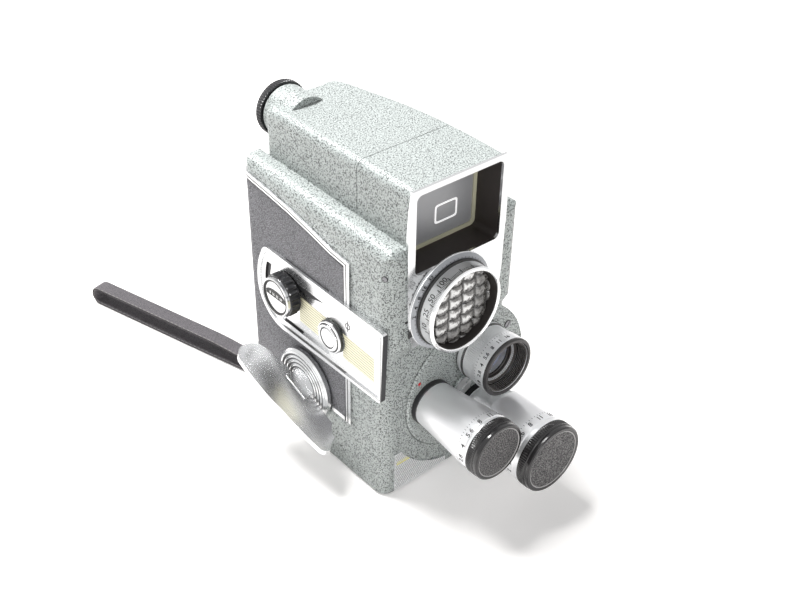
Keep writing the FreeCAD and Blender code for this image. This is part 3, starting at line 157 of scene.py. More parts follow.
class Finish:
    """One material: a Principled shader whose varying sockets are fed by expressions."""

    def __init__(self, name, **constants):
        self.material = bpy.data.materials.new(name)
        self.material.use_nodes = True
        self.tree = self.material.node_tree
        self.shader = next(n for n in self.tree.nodes if n.type == "BSDF_PRINCIPLED")
        self.feed(**constants)
        self.place = self.node("ShaderNodeTexCoord", {}, out="Object")

    def put(self, socket, value):
        """Link a value to a socket, or set the socket to a number or a colour."""
        if isinstance(value, Value):
            self.tree.links.new(value.socket, socket)
            return
        four = hasattr(socket.default_value, "__len__") and len(socket.default_value) == 4
        socket.default_value = (*value, 1) if four and len(value) == 3 else value

    def node(self, kind, settings, *inputs, out=0, **named):
        """Any node: its type, its settings, then the values or links of its sockets in order or by name."""
        made = self.tree.nodes.new(kind)
        for key, value in settings.items():
            setattr(made, key, value)
        open_sockets = [s for s in made.inputs if s.enabled]
        for socket, value in zip(open_sockets, inputs):
            self.put(socket, value)
        for key, value in named.items():
            self.put(next(s for s in open_sockets if s.name == key.replace("_", " ")), value)
        if isinstance(out, str):
            return Value(self, made.outputs[out])
        return Value(self, [s for s in made.outputs if s.enabled][out])

    def feed(self, **links):
        """Link values to the shader's sockets, or set these to numbers or colours."""
        for key, value in links.items():
            self.put(self.shader.inputs[key.replace("_", " ")], value)
        return self

    def now(self, name):
        """What feeds a socket of the shader at present: its link, or its number or colour."""
        socket = self.shader.inputs[name]
        if socket.is_linked:
            return Value(self, socket.links[0].from_socket)
        value = socket.default_value
        return tuple(value)[:3] if hasattr(value, "__len__") else value

    def paint(self, mask, colour, rough=None, metallic=None):
        """Lay a second finish where the mask is 1: its colour and, where given, its roughness and metal."""
        self.feed(Base_Color=self.colour(mask, self.now("Base Color"), colour))
        if rough is not None:
            self.feed(Roughness=(1 - mask) * self.now("Roughness") + mask * rough)
        if metallic is not None:
            self.feed(Metallic=(1 - mask) * self.now("Metallic") + mask * metallic)
        return self

    def axes(self, source=None):
        """The three parts of a vector, by default the point in millimetres."""
        source = source or self.node("ShaderNodeVectorMath", {"operation": "SCALE"}, self.place, 1 / MM)
        split = self.node("ShaderNodeSeparateXYZ", {}, source)
        return [Value(self, output) for output in split.socket.node.outputs]

    def polar(self, centre, plane="XZ"):
        """Radius and angle round a line along Y, or along X for the plane YZ, and the place along it."""
        x, y, z = self.axes()
        side, along = (x, y) if plane == "XZ" else (y, x)
        side, up = side - centre[0], z - centre[1]
        return (side * side + up * up) ** 0.5, self.maths("ARCTAN2", up, side), along

    def maths(self, operation, *terms):
        return self.node("ShaderNodeMath", {"operation": operation}, *terms)

    def noise(self, scale, detail=2.0, roughness=0.5, at=None, out=0):
        return self.node("ShaderNodeTexNoise", {}, Vector=at or self.place, Scale=scale, Detail=detail,
                         Roughness=roughness, out=out)

    def cells(self, scale, feature="F1", at=None, **named):
        return self.node("ShaderNodeTexVoronoi", {"feature": feature}, Vector=at or self.place, Scale=scale,
                         **named)

    def drifted(self, scale, reach):
        """The point pushed about by noise as far as reach, so that a pattern read there wanders."""
        return self.node("ShaderNodeVectorMath", {"operation": "MULTIPLY_ADD"},
                         self.noise(scale, 3.0, out="Color"), (reach * MM,) * 3, self.place)

    def stretched(self, grain):
        return self.node("ShaderNodeVectorMath", {"operation": "MULTIPLY"}, self.place, grain)

    def colour(self, factor, low, high):
        """Mix of two colours by a factor."""
        made = self.tree.nodes.new("ShaderNodeMix")
        made.data_type = "RGBA"
        for index, value in ((0, factor), (6, low), (7, high)):
            self.put(made.inputs[index], value)
        return Value(self, made.outputs[2])

    def bump(self, height, strength, distance, after=None):
        """Normal raised by a height field over the one that came before it."""
        named = {} if after is None else {"Normal": after}
        return self.node("ShaderNodeBump", {}, Strength=strength, Distance=distance * MM, Height=height,
                         **named)

    def wear(self, low=0.45, high=0.7):
        """Slow cloudy variation, for dust and handling."""
        return self.noise(38, 4.0, 0.6).ramp(low, high)


def shaded(colour, share):
    return tuple(share * c for c in colour)


# Finishes
def hammered_enamel(name, colour):
    """Hammered enamel: short dark flecks, under a millimetre apart, between pale crests over metal flake."""
    made = Finish(name, Metallic=0.1, Coat_Weight=0.12, Coat_Roughness=0.35)
    drift = made.drifted(900, 0.7)
    grain = made.noise(1750, 2.5, 0.6, at=drift)
    flake = made.noise(4200, 2.0)
    dimple = made.cells(1300, "SMOOTH_F1", at=drift, Smoothness=0.5)
    relief = grain * 0.75 + dimple * 0.35 + flake * 0.12
    crest = grain.ramp(0.42, 0.51)
    tone = made.colour(crest, shaded(colour, 0.2), shaded(colour, 1.3))
    tone = made.colour(flake.ramp(0.56, 0.66) * 0.35, tone, shaded(colour, 1.4))
    tone = made.colour(made.wear(0.45, 0.8) * 0.14, tone, shaded(colour, 0.75))
    return made.feed(Base_Color=tone, Roughness=crest.ramp(0, 1, 0.6, 0.42),
                     Normal=made.bump(relief, 1.0, 0.18))


def leather_cloth(name, colour, grain=1250.0):
    """Pebbled book cloth: small pebbles between creases, darker in the creases and rubbed at random."""
    made = Finish(name, Specular_IOR_Level=0.4)
    drift = made.drifted(420, 0.9)
    pebble = made.cells(grain, "DISTANCE_TO_EDGE", at=drift).ramp(0.02, 0.24)
    mottle = made.noise(900, 3.0)
    tone = made.colour(pebble * 0.75 + mottle * 0.25, shaded(colour, 0.35), shaded(colour, 1.45))
    tone = made.colour(made.wear(0.5, 0.8) * 0.25, tone, shaded(colour, 1.4))
    return made.feed(Base_Color=tone, Roughness=pebble.ramp(0, 1, 0.78, 0.52),
                     Normal=made.bump(mottle, 0.2, 0.08, made.bump(pebble, 0.6, 0.16)))


def plain_metal(name, colour, rough=0.14, grain=(0, 0, 0), marks=0.0):
    """Bare or plated metal. grain stretches the noise: a small number draws lines along that axis."""
    made = Finish(name, Metallic=1.0)
    haze = made.wear(0.35, 0.75)
    tone = made.colour(haze * 0.35, colour, shaded(colour, 0.88))
    if marks:
        scratch = made.cells(700, "DISTANCE_TO_EDGE", at=made.stretched((0.2, 1.0, 0.7)))
        tone = made.colour((scratch < 0.012) * marks, tone, shaded(colour, 0.5))
    base = haze.ramp(0, 1, rough, rough + 0.08)
    if any(grain):
        lines = made.noise(900, 3.0, at=made.stretched(grain))
        base = base + lines.ramp(0.3, 0.7, -0.04, 0.06)
        made.feed(Normal=made.bump(lines, 0.2, 0.03))
    return made.feed(Base_Color=tone, Roughness=base)


def lathe_metal(name, colour, centre, rough=0.2, pitch=0.35, plane="XZ", depth=0.2):
    """Turned metal: fine rings that follow both the radius and the axis, as a lathe tool leaves them."""
    made = Finish(name, Metallic=1.0)
    radius, _, along = made.polar(centre, plane)
    rings = ((radius + along) * (TAU / pitch)).maths("SINE")
    drift = made.noise(60, 4.0)
    tone = made.colour(drift.ramp(0.35, 0.75) * 0.4, colour, shaded(colour, 0.88))
    return made.feed(Base_Color=tone, Roughness=drift.ramp(0.3, 0.7, rough, rough + 0.08),
                     Normal=made.bump(rings, depth, 0.03))


def smooth_coat(name, rough=0.3, colour=(0.018, 0.018, 0.02)):
    """Moulded or painted surface, black unless a colour is given: faint haze, paler where it is rubbed."""
    made = Finish(name, Specular_IOR_Level=0.5)
    haze = made.wear(0.45, 0.75)
    fine = made.noise(3200, 2.0)
    return made.feed(Base_Color=made.colour(haze * 0.5, colour, tuple(c + 0.02 for c in colour)),
                     Roughness=haze.ramp(0, 1, rough, rough + 0.15), Normal=made.bump(fine, 0.1, 0.04))


def polished_glass(name, tint, rough=0.02):
    """Polished glass, with faint dust that dulls it in places."""
    made = Finish(name, Transmission_Weight=1.0, IOR=1.5, Coat_Weight=0.3)
    dust = made.noise(140, 5.0, 0.65).ramp(0.55, 0.85)
    return made.feed(Base_Color=made.colour(dust * 0.3, tint, tuple(0.8 * c + 0.08 for c in tint)),
                     Roughness=dust.ramp(0, 1, rough, rough + 0.12))


def silvered_window():
    """Half-silvered finder window: a flat grey mirror coat, clouded a little by dust."""
    made = Finish("half_silvered_window", Metallic=0.1, Coat_Weight=0.25, Coat_Roughness=0.25)
    dust = made.noise(110, 5.0, 0.65).ramp(0.45, 0.85)
    return made.feed(Base_Color=made.colour(dust * 0.5, (0.36, 0.365, 0.38), (0.42, 0.42, 0.42)),
                     Roughness=dust.ramp(0, 1, 0.4, 0.55))


def line_enamel():
    """White line of the finder, with a faint painted glow of its own."""
    made = smooth_coat("finder_line_painted_glow", 0.4, (0.9, 0.9, 0.9))
    # Painted glow: a faint emission, though the line is no lamp.
    return made.feed(Emission_Color=(1.0, 1.0, 1.0), Emission_Strength=0.45)


def lens_cells():
    """Moulded lens cells over the light cell: smoky glass, with a painted highlight in each cell and painted
    shade, near black, in the valleys.

    The painted highlight is a pale patch that narrows to the right in each cell and fades out towards the
    right and the bottom of the plate.
    """
    made = Finish("smoky_lens_cells", Specular_IOR_Level=0.5, Coat_Weight=0.6, Coat_Roughness=0.06)
    x, _, z = made.axes()
    cloud = made.noise(650, 3.0, 0.6)
    across = (x - CELL_CORNER[0]).cycle(CELL_SIZE[0])
    up = (z - CELL_CORNER[1]).cycle(CELL_SIZE[1])
    tone = made.colour(cloud.ramp(0.42, 0.60), (0.035, 0.032, 0.030), (0.20, 0.195, 0.185))
    # Painted highlight: a pale patch on the left of each cell, a little above its middle, fading out towards
    # the right and the bottom of the plate.
    highlight_patch = (up - 0.56 + (cloud - 0.5) * 0.9).size() + across * 0.36
    painted_highlight = highlight_patch.ramp(0.42, 0.22) * across.ramp(0.04, 0.12)
    reach = x.ramp(3.0, 7.5, 1, 0) * z.ramp(81.5, 87.0)
    tone = made.colour(painted_highlight * reach, tone, (0.92, 0.92, 0.91))
    # Painted shade: the valleys between the cells are painted near black.
    beside, above = (across - 0.5).size(), (up - 0.5).size()
    valley = beside.ramp(0.44, 0.485).larger(above.ramp(0.43, 0.49) * 0.7)
    tone = made.colour(valley, tone, (0.008, 0.007, 0.007))
    return made.feed(Base_Color=tone, Roughness=cloud.ramp(0.3, 0.7, 0.08, 0.2))


def striped_plate():
    """Plated control plate: two pale yellow panels ruled with olive lines, and a black front end that is a
    painted dark reflection.

    The sunk field is black above and behind the dial and under it, as painted shade and painted dark
    reflection in the recess, and a grey line runs inside the lip.
    """
    made = plain_metal("plated_control_plate", (0.72, 0.725, 0.73), 0.2, (1, 0.02, 1), 0.12)
    x, y, z = made.axes()
    rule = z - y * 0.06
    dial_panel = y.between(-7.2, 12.2) * rule.between(64.0, 77.2) * x.between(-34.2, -33.2)
    front_panel = y.between(-38.4, -18.6) * rule.between(65.2, 77.4) * x.between(-35.2, -34.4)
    panel = dial_panel + front_panel
    made.paint(panel, (0.90, 0.87, 0.66), 0.42, 0.0)
    made.paint(panel * (rule.cycle(1.3) < 0.26), (0.40, 0.37, 0.21))
    # Painted shade and painted dark reflection in the sunk field: above and behind the dial, and under it.
    above = y.between(-9.2, 20.0) * (z > y.ramp(-9.2, 4.0, 84.1, 81.1))
    behind = z.between(69.0, 84.6) * (y > z.ramp(70.0, 84.6, 34.7, 31.2))
    under = y.between(10.0, 23.0) * (z < 60.4)
    sunk = x > -34.5
    made.paint((above + behind + under).smaller(1) * sunk, (0.03, 0.03, 0.032), 0.5, 0.0)
    top_line = (z - y * 0.0256).between(89.4, 89.8) * y.between(-42.8, 31.0)
    front_line = y.between(-43.2, -42.8) * z.between(56.0, 89.0)
    low_line = z.between(56.4, 56.8) * y.between(-42.8, 23.0)
    for line in (top_line, front_line, low_line):
        made.paint(line, LINE_GREY, 0.4)
    # Painted dark reflection on the plate's front end.
    front_end_painted_reflection = (y + z * 0.0382) < -40.95
    return made.paint(front_end_painted_reflection, (0.02, 0.02, 0.022), 0.4, 0.0)


def hatched_plate():
    """Nameplate left bare: silver with fine slanting hatch, a plain rim and two pale yellow bars."""
    made = plain_metal("hatched_nameplate", (0.80, 0.81, 0.82), 0.24, (0.02, 1, 1), 0.1)
    x, _, z = made.axes()
    inside = x.between(-26.8, 1.8) * z.between(2.4, 21.7)
    hatch = ((x + z * 0.45).cycle(0.9) < 0.34) * ((x * 0.45 - z).cycle(0.9) > 0.2)
    made.paint(hatch * inside, (0.33, 0.34, 0.34), 0.4)
    bars = x.between(-26.2, 1.2) * (z.between(15.8, 16.6) + z.between(17.2, 17.6))
    return made.paint(bars, (0.74, 0.70, 0.22), 0.4, 0.0)


def trim_band():
    """Bright edging strip with a grey groove along it, and painted shade along its inner edge and near the
    wall.

    Its top edge rises in straight runs towards the rear, so each mark is set by how far below it lies.
    """
    front, front_top = -22.1, 111.6
    runs = [(front, -9.6, 1.6), (-9.6, 3.1, 3.0), (3.1, 16.3, 2.7), (16.3, 29.8, 2.0), (29.8, 46.0, 2.1)]
    made = plain_metal("satin_trim", (0.72, 0.725, 0.73), 0.2, (1, 0.02, 1), 0.1)
    x, y, z = made.axes()
    below = front_top - z
    for start, end, rise in runs:
        below = below + y.ramp(start, end, 0, rise)
    behind = y - front
    groove = below.between(1.4, 2.1) + behind.between(1.5, 2.2) * (below > 1.4)
    made.paint(groove * (behind > 1.4), (0.16, 0.16, 0.16), 0.5)
    # Painted shade along the inner edge, beside the leather.
    inner = below.between(2.9, 4.0) * (behind > 3.1) + behind.between(3.1, 4.0) * (below > 2.9)
    made.paint(inner, BLACK, 0.6, 0.0)
    # Painted shade where the strip stands close to the casing wall.
    painted_wall_shade = (x.size() < 33.35) * (y < 44.0)
    return made.paint(painted_wall_shade, PAINTED_SHADE_GREY, 0.6, 0.0)


def setting_ring_finish():
    """Eye ring: grey satin wall with fine ticks behind a polished lip, and a black wall inside and foot."""
    made = lathe_metal("eye_ring_satin", (0.80, 0.81, 0.82), EYE, 0.32, 0.4)
    made.feed(Metallic=0.6)
    radius, angle, along = made.polar(EYE)
    fine_tick = (angle.cycle(TAU / 190) < 0.32) * along.between(-55.1, -53.8) * angle.between(0.2, 3.1)
    long_tick = (angle.cycle(TAU / 19) < 0.07) * along.between(-55.1, -53.0)
    lip = (along < -55.3) * (radius > 17.0)
    made.paint(lip, (0.84, 0.845, 0.85), 0.12, 1.0)
    made.paint(fine_tick + long_tick * (1 - fine_tick), BLACK, 0.5, 0.3)
    made.paint(radius < 17.12, (0.028, 0.024, 0.022), 0.5, 0.0)
    return made.paint(along > -50.2, BLACK, 0.5, 0.3)


def scale_plate_finish():
    """Fixed scale under the eye ring: grey enamel with a pale outer edge and a circle of ticks."""
    made = smooth_coat("scale_enamel", 0.42, (0.40, 0.415, 0.44))
    radius, angle, _ = made.polar(EYE)
    tick = (angle.cycle(TAU / 60) < 0.14) * radius.between(19.3, 19.8)
    made.paint(tick, BLACK)
    return made.paint(radius > 21.18, (0.72, 0.73, 0.74), 0.25, 0.9)


def barrel_finish(name, foot, ticks):
    """Satin aluminium barrel with a black foot, and ticks between two places along it."""
    made = lathe_metal(f"{name}_lens_aluminium", (0.96, 0.965, 0.98), LENSES[name], 0.3, 0.5, depth=0.12)
    made.feed(Metallic=0.5)
    _, angle, along = made.polar(LENSES[name])
    tick = (angle.cycle(TAU / 60) < 0.12) * along.between(*ticks)
    made.paint(tick, (0.05, 0.05, 0.055), 0.5, 0.3)
    return made.paint(along > foot, (0.03, 0.03, 0.032), 0.4, 0.3)


def normal_barrel_finish():
    """Satin aluminium with a dark groove near the foot and a black front rim."""
    made = barrel_finish("normal", -44.4, (-56.0, -55.2))
    radius, _, along = made.polar(LENSES["normal"])
    made.paint(along.between(-48.0, -47.0), (0.08, 0.08, 0.08), 0.4)
    rim = (along < -60.7) * (radius > 11.7)
    return made.paint(rim, (0.055, 0.052, 0.052), 0.28, 0.55)


def cap_finish(name, size, front):
    """Moulded lens cap: glossy rim, and a crackled face of radius size inside a fine bright line."""
    made = smooth_coat(f"{name}_cap_moulding", 0.13, (0.016, 0.015, 0.016))
    radius, _, along = made.polar(LENSES[name])
    face = (radius < size) * (along < front)
    speck = made.noise(1900, 3.0, 0.65)
    crackle = made.colour(speck.ramp(0.47, 0.58), (0.012, 0.011, 0.012), (0.20, 0.195, 0.195))
    made.paint(face, crackle, 0.62)
    made.paint(radius.between(size - 0.05, size + 0.35), (0.42, 0.41, 0.41), 0.3)
    return made.feed(Normal=made.bump(speck * face, 0.6, 0.1))


def hub_finish():
    """Winding hub: bright turned metal with dark rings on its face, painted as dark reflections."""
    made = lathe_metal("winding_hub_metal", (0.70, 0.705, 0.71), KEY_HUB, 0.17, 0.4, "YZ")
    radius, _, along = made.polar(KEY_HUB, "YZ")
    # Painted dark reflection: dark rings on the hub's face.
    groove = (radius.cycle(2.0) < 0.5) * radius.between(7.5, 15.8) * (along > -38.0)
    return made.paint(groove, (0.035, 0.035, 0.037), 0.4, 0.5)


def button_finish():
    """Run button: bright turned metal with two rings of painted shade in its face and a line of painted
    shade round its edge.
    """
    made = lathe_metal("run_button_metal", (0.72, 0.725, 0.73), BUTTON, 0.16, 0.4, "YZ")
    radius, _, along = made.polar(BUTTON, "YZ")
    # Painted shade in the face's two grooves, and round the edge where the button stands out of the plate.
    made.paint(radius.between(6.1, 6.6) + radius.between(4.2, 4.8), PAINTED_SHADE_GREY, 0.4, 0.5)
    return made.paint(radius.between(7.3, 7.6) * (along > -36.7), PAINTED_SHADE_GREY, 0.4, 0.5)


def strap_leather():
    """Worn strap leather on the band's own map: dark cut edges and a row of pale stitches inside each."""
    made = leather_cloth("strap_leather", (0.115, 0.107, 0.115), 2300.0)
    u, v, _ = made.axes(made.node("ShaderNodeUVMap", {"uv_map": "band"}))
    across = (v * TAU).maths("COSINE").size()
    made.paint(across > 0.965, (0.03, 0.026, 0.026), 0.8)
    stitch = across.between(0.70, 0.84) * (u.cycle(1 / 110) < 0.6)
    return made.paint(stitch, (0.24, 0.23, 0.22), 0.7)


def every_finish(sizes):
    """All the finishes by their names."""
    enamel = tuple(sizes.enamel)
    made = {
        "hammertone": hammered_enamel("hammered_enamel", enamel),
        # The turret's enamel is the body's colour made lighter: painted light, against the shade it sits in.
        "hammertone_dark": hammered_enamel("hammered_enamel_turret_painted_light", shaded(enamel, 1.08)),
        "leatherette": leather_cloth("leather_cloth", tuple(sizes.leather)),
        "strap": strap_leather(),
        "bright": plain_metal("polished_chrome", (0.70, 0.705, 0.71), 0.13, marks=0.08),
        "satin": trim_band(),
        "wing": plain_metal("rubbed_chrome", (0.80, 0.805, 0.81), 0.18),
        "hub": hub_finish(),
        "button": button_finish(),
        "screw": plain_metal("blued_screw", (0.22, 0.22, 0.23), 0.3, marks=0.2),
        "plate_steel": plain_metal("grained_steel", (0.56, 0.56, 0.55), 0.3, (1, 0.03, 1)),
        "steel": lathe_metal("turned_steel", (0.60, 0.60, 0.60), TURRET, 0.25),
        "brass_gear": plain_metal("gear_brass", (0.72, 0.53, 0.24), 0.26, (1, 1, 0.1)),
        "gold": smooth_coat("pale_gold_enamel", 0.35, (0.60, 0.585, 0.43)),
        "lens_silver": setting_ring_finish(),
        "normal_barrel": normal_barrel_finish(),
        "tele_barrel": barrel_finish("tele", -46.25, (-74.0, -73.2)),
        "wide_barrel": barrel_finish("wide", -46.6, (-79.4, -78.6)),
        "tele_cap": cap_finish("tele", 11.0, -84.6),
        "wide_cap": cap_finish("wide", 13.4, -91.0),
        "black_gloss": smooth_coat("black_phenolic", 0.24),
        "black_paint": smooth_coat("black_lacquer", 0.55, (0.026, 0.020, 0.0175)),
        "baffle": smooth_coat("baffle_black", 0.38, (0.024, 0.019, 0.017)),
        "spool": smooth_coat("spool_black", 0.38),
        "cell": smooth_coat("selenium_layer", 0.35, (0.035, 0.026, 0.02)),
        "glass_clear": lens_cells(),
        "window": silvered_window(),
        "glass_coated": polished_glass("coated_glass", (0.62, 0.66, 0.80), 0.01),
        "scale_grey": scale_plate_finish(),
        "plate_stripes": striped_plate(),
        "hatched": hatched_plate(),
        "red": smooth_coat("red_enamel", 0.35, (0.55, 0.02, 0.02)),
        "white": smooth_coat("white_enamel", 0.4, (0.88, 0.88, 0.88)),
        "bright_line": line_enamel(),
        "ink": smooth_coat("black_ink", 0.5, (0.012, 0.012, 0.012)),
    }
    return {name: look.material for name, look in made.items()}


# The materials by their names, once the first step has made them
FINISHES = {}

# CAD pieces with a finish of their own instead of their slot's
SPECIAL = {
    "turret_pivot": "hammertone_dark",
    "control_plate": "plate_stripes",
    "nameplate": "hatched",
    "key_wing": "wing",
    "winding_key": "hub",
    "finder_front_glass": "window",
    "tele_barrel": "tele_barrel",
    "wide_barrel": "wide_barrel",
}


# Surfaces
class Seat:
    """Where a piece sits: its centre, the way its axis points and the way its zero angle points."""

    def __init__(self, centre, axis, zero):
        self.centre = np.array(centre, float)
        self.axis = np.array(axis, float)
        self.zero = np.array(zero, float)
        self.side = np.cross(self.axis, self.zero)

    def points(self, across, up, along):
        """centre + across * zero + up * side + along * axis, in metres."""
        spots = (self.centre + across[..., None] * self.zero + up[..., None] * self.side
                 + along[..., None] * self.axis)
        return spots * MM


def front_seat(x, z, y=TURRET_FACE):
    """Faces the front; heights rise towards -Y, the zero angle is +X and a quarter turn is +Z."""
    return Seat((x, y, z), (0, -1, 0), (1, 0, 0))


def key_seat(y, z, x=-33.2):
    """Faces the key side; heights rise towards -X, the zero angle is -Y and a quarter turn is +Z."""
    return Seat((x, y, z), (-1, 0, 0), (0, -1, 0))


def settle(name, mesh, look, sharp=35.0):
    """Merge doubled points, turn the faces outwards, smooth all but the sharp edges, and link the object."""
    draft = bmesh.new()
    draft.from_mesh(mesh)
    bmesh.ops.remove_doubles(draft, verts=draft.verts, dist=2e-7)
    bmesh.ops.dissolve_degenerate(draft, dist=1e-8, edges=draft.edges)
    bmesh.ops.recalc_face_normals(draft, faces=draft.faces)
    draft.to_mesh(mesh)
    draft.free()
    mesh.polygons.foreach_set("use_smooth", np.ones(len(mesh.polygons), bool))
    mesh.set_sharp_from_angle(angle=math.radians(sharp))
    mesh.materials.append(FINISHES[look])
    made = bpy.data.objects.new(name, mesh)
    bpy.context.scene.collection.objects.link(made)
    return made


def grid_piece(name, points, look, wrap=(False, False), sharp=35.0, chart=None):
    """Mesh from a grid of points; neighbours in both directions join into quads, and wrapped ways close up.

    A chart names a UV map whose two ways run from 0 to 1 along the grid's two ways.
    """
    rows, columns = points.shape[:2]
    index = np.arange(rows * columns).reshape(rows, columns)
    if wrap[0]:
        index = np.concatenate([index, index[:1]], 0)
    if wrap[1]:
        index = np.concatenate([index, index[:, :1]], 1)

    def corners(grid):
        return np.stack([grid[:-1, :-1], grid[1:, :-1], grid[1:, 1:], grid[:-1, 1:]], -1)

    mesh = bpy.data.meshes.new(name)
    mesh.from_pydata(points.reshape(-1, 3), [], corners(index).reshape(-1, 4).tolist())
    if chart:
        ways = [np.linspace(0, 1, count) for count in index.shape]
        u, v = np.meshgrid(*ways, indexing="ij")
        layer = mesh.uv_layers.new(name=chart)
        layer.data.foreach_set("uv", np.stack([corners(u), corners(v)], -1).astype(np.float32).ravel())
    return settle(name, mesh, look, sharp)


def refined(profile, step=0.5):
    """Profile with points added so that no run is longer than the step."""
    line = np.array(profile, float)
    reach = np.concatenate([[0.0], np.cumsum(np.hypot(*np.diff(line, axis=0).T))])
    spots = np.union1d(reach, np.linspace(0, reach[-1], max(2, math.ceil(reach[-1] / step))))
    spots = spots[np.concatenate([[True], np.diff(spots) > 0.02]) | np.isin(spots, reach)]
    return np.stack([np.interp(spots, reach, line[:, 0]), np.interp(spots, reach, line[:, 1])], -1)


def turned(name, seat, profile, look, count=160, step=0.6, relief=None):
    """Surface of revolution: (r cos a, r sin a, h) for each profile point (r, h) and angle a.

    The profile closes up. relief(a, r, h) gives what is added to r, such as ribs.
    """
    line = refined(list(profile) + [profile[0]], step)[:-1]
    angle = np.linspace(0, TAU, count, endpoint=False)[:, None]
    radius = np.broadcast_to(line[None, :, 0], (count, len(line)))
    height = np.broadcast_to(line[None, :, 1], (count, len(line)))
    if relief is not None:
        radius = radius + np.where(radius > 0.01, relief(angle, radius, height), 0.0)
    points = seat.points(radius * np.cos(angle), radius * np.sin(angle), height)
    return grid_piece(name, points, look, (True, True))


def ribs(count, depth, low, high, sharpness, inner):
    """Relief of count ribs between two heights, outside inner: -depth (0.5 - 0.5 cos(count a))^sharpness."""
    def relief(angle, radius, height):
        wave = (0.5 - 0.5 * np.cos(count * angle)) ** sharpness
        return -depth * wave * ((height > low) & (height < high) & (radius > inner))
    return relief


def slab(name, seat, outline, low, high, look):
    """Flat shape with a straight wall: the outline at two heights, closed by its two faces."""
    ring = np.array(outline, float)
    count = len(ring)
    points = [seat.points(ring[:, 0], ring[:, 1], np.full(count, h)) for h in (low, high)]
    around = np.arange(count)
    after = (around + 1) % count
    walls = np.stack([around, after, count + after, count + around], -1).tolist()
    mesh = bpy.data.meshes.new(name)
    mesh.from_pydata(np.concatenate(points), [], walls + [around[::-1].tolist(), (count + around).tolist()])
    return settle(name, mesh, look, 30)


def rounded_frame(name, seat, half, wide, low, high, look, power=9.0):
    """Thin closed frame of two superellipses |x/a|^p + |y/b|^p = 1, one at half and one wide inside it."""
    angle = np.linspace(0, TAU, 128, endpoint=False)
    reach = (np.abs(np.cos(angle)) ** power + np.abs(np.sin(angle)) ** power) ** (-1 / power)
    x, y = np.cos(angle) * reach, np.sin(angle) * reach
    inset = np.array([0, 0, wide, wide])[:, None]
    level = np.array([low, high, high, low])[:, None] + 0 * x
    points = seat.points(x * (half[0] - inset), y * (half[1] - inset), level)
    return grid_piece(name, points, look, (True, True), 30)


def slotted_screw(name, seat, radius, height, look, turn=0.6):
    """Cheese-head screw: height h (1 - r^2 / 4R^2), with a band across it pressed down as the slot."""
    angle = np.linspace(0, TAU, 64, endpoint=False)[None, :]
    r = np.concatenate([np.linspace(0, radius, 22), [radius]])[:, None]
    dome = height * (1 - 0.25 * (r / radius) ** 2) + 0 * angle
    dome = np.where(np.abs(r * np.sin(angle - turn)) < 0.17 * radius, dome - 0.6 * height, dome)
    dome[-1] = -0.3
    points = seat.points(r * np.cos(angle), r * np.sin(angle), dome)
    return grid_piece(name, points, look, (False, True), 25)


def numerals(name, words, size, place, look="ink"):
    """Plain figures as a thin closed mesh; place(u, v, w) carries the flat words' points to the surface."""
    thickness = 0.03
    curve = bpy.data.curves.new(name, "FONT")
    curve.body = words
    curve.size = size
    curve.align_x = "CENTER"
    curve.extrude = thickness
    curve.offset = thickness
    curve.resolution_u = 3
    holder = bpy.data.objects.new(name, curve)
    bpy.context.scene.collection.objects.link(holder)
    mesh = bpy.data.meshes.new_from_object(holder.evaluated_get(bpy.context.evaluated_depsgraph_get()))
    bpy.data.objects.remove(holder)
    bpy.data.curves.remove(curve)
    spots = np.empty(len(mesh.vertices) * 3, np.float32)
    mesh.vertices.foreach_get("co", spots)
    u, v, w = spots.reshape(-1, 3).astype(float).T
    mesh.vertices.foreach_set("co", place(u, v, w).astype(np.float32).ravel())
    mesh.materials.clear()
    mesh.name = name
    return settle(name, mesh, look, 30)


def on_wall(seat, height, wall, middle):
    """Words round a turned wall, clockwise from the front, tops to the foot: the angle is middle - u / r."""
    def place(u, v, w):
        along = height - v
        radius = np.interp(along, [p[0] for p in wall], [p[1] for p in wall])
        angle = math.radians(middle) - u / radius
        return seat.points((radius + w) * np.cos(angle), (radius + w) * np.sin(angle), along)
    return place


def on_face(seat, height, radius, middle):
    """Words round a flat face, clockwise, tops outwards: the radius grows with v, the angle falls with u."""
    def place(u, v, w):
        angle = math.radians(middle) - u / radius
        return seat.points((radius + v) * np.cos(angle), (radius + v) * np.sin(angle), height + w)
    return place


def tell(piece, body, slot, *nodes):
    """Set the body that the piece rides on, and hide the CAD nodes that it stands for. The slot in the
    record is not used.
    """
    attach(piece, body)
    if nodes:
        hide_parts(*nodes)
    return piece


# Making steps
class CINE_OT_finishes(bpy.types.Operator):
    """Make every finish and give the CAD pieces theirs"""

    bl_idname = "cine.finishes"
    bl_label = "Finishes"

    def execute(self, context):
        FINISHES.update(every_finish(context.scene.cine_camera))
        slots = {s["node"]: s["material_slot"] for s in frame["record"]["subparts"]}
        for name, piece in NODES.items():
            piece.data.materials.clear()
            piece.data.materials.append(FINISHES[SPECIAL.get(name, slots[name])])
        return {"FINISHED"}


class CINE_OT_eye(bpy.types.Operator):
    """Setting ring of the electric eye, with its ticks and figures, and the fixed scale's figures"""

    bl_idname = "cine.eye"
    bl_label = "Eye ring"

    def execute(self, context):
        seat = front_seat(*EYE, y=EYE_FOOT)
        profile = [(16.95, 1.9), (19.2, 1.9), (19.2, 2.5), (18.6, 3), (18.5, 8.2), (18.9, 8.6), (18.9, 9.2),
                   (18.4, 9.8), (17.6, 9.9), (17.2, 9.6), (16.95, 9)]
        ring = turned("eye_setting_ring", seat, profile, "lens_silver", 240, 0.4)
        tell(ring, "eye_ring", "lens_silver", "eye_ring")
        wall = on_wall(seat, 6.75, [(0, 18.6), (8, 18.52)], 152)
        figures = numerals("eye_ring_figures", "10   25   50   100", 3.4, wall)
        tell(figures, "eye_ring", "lens_silver")
        face = on_face(seat, 1.6, 19.4, 150)
        figures = numerals("eye_scale_figures", "2    4    8   16   32", 2.5, face)
        tell(figures, "casing", "scale_grey")
        return {"FINISHED"}


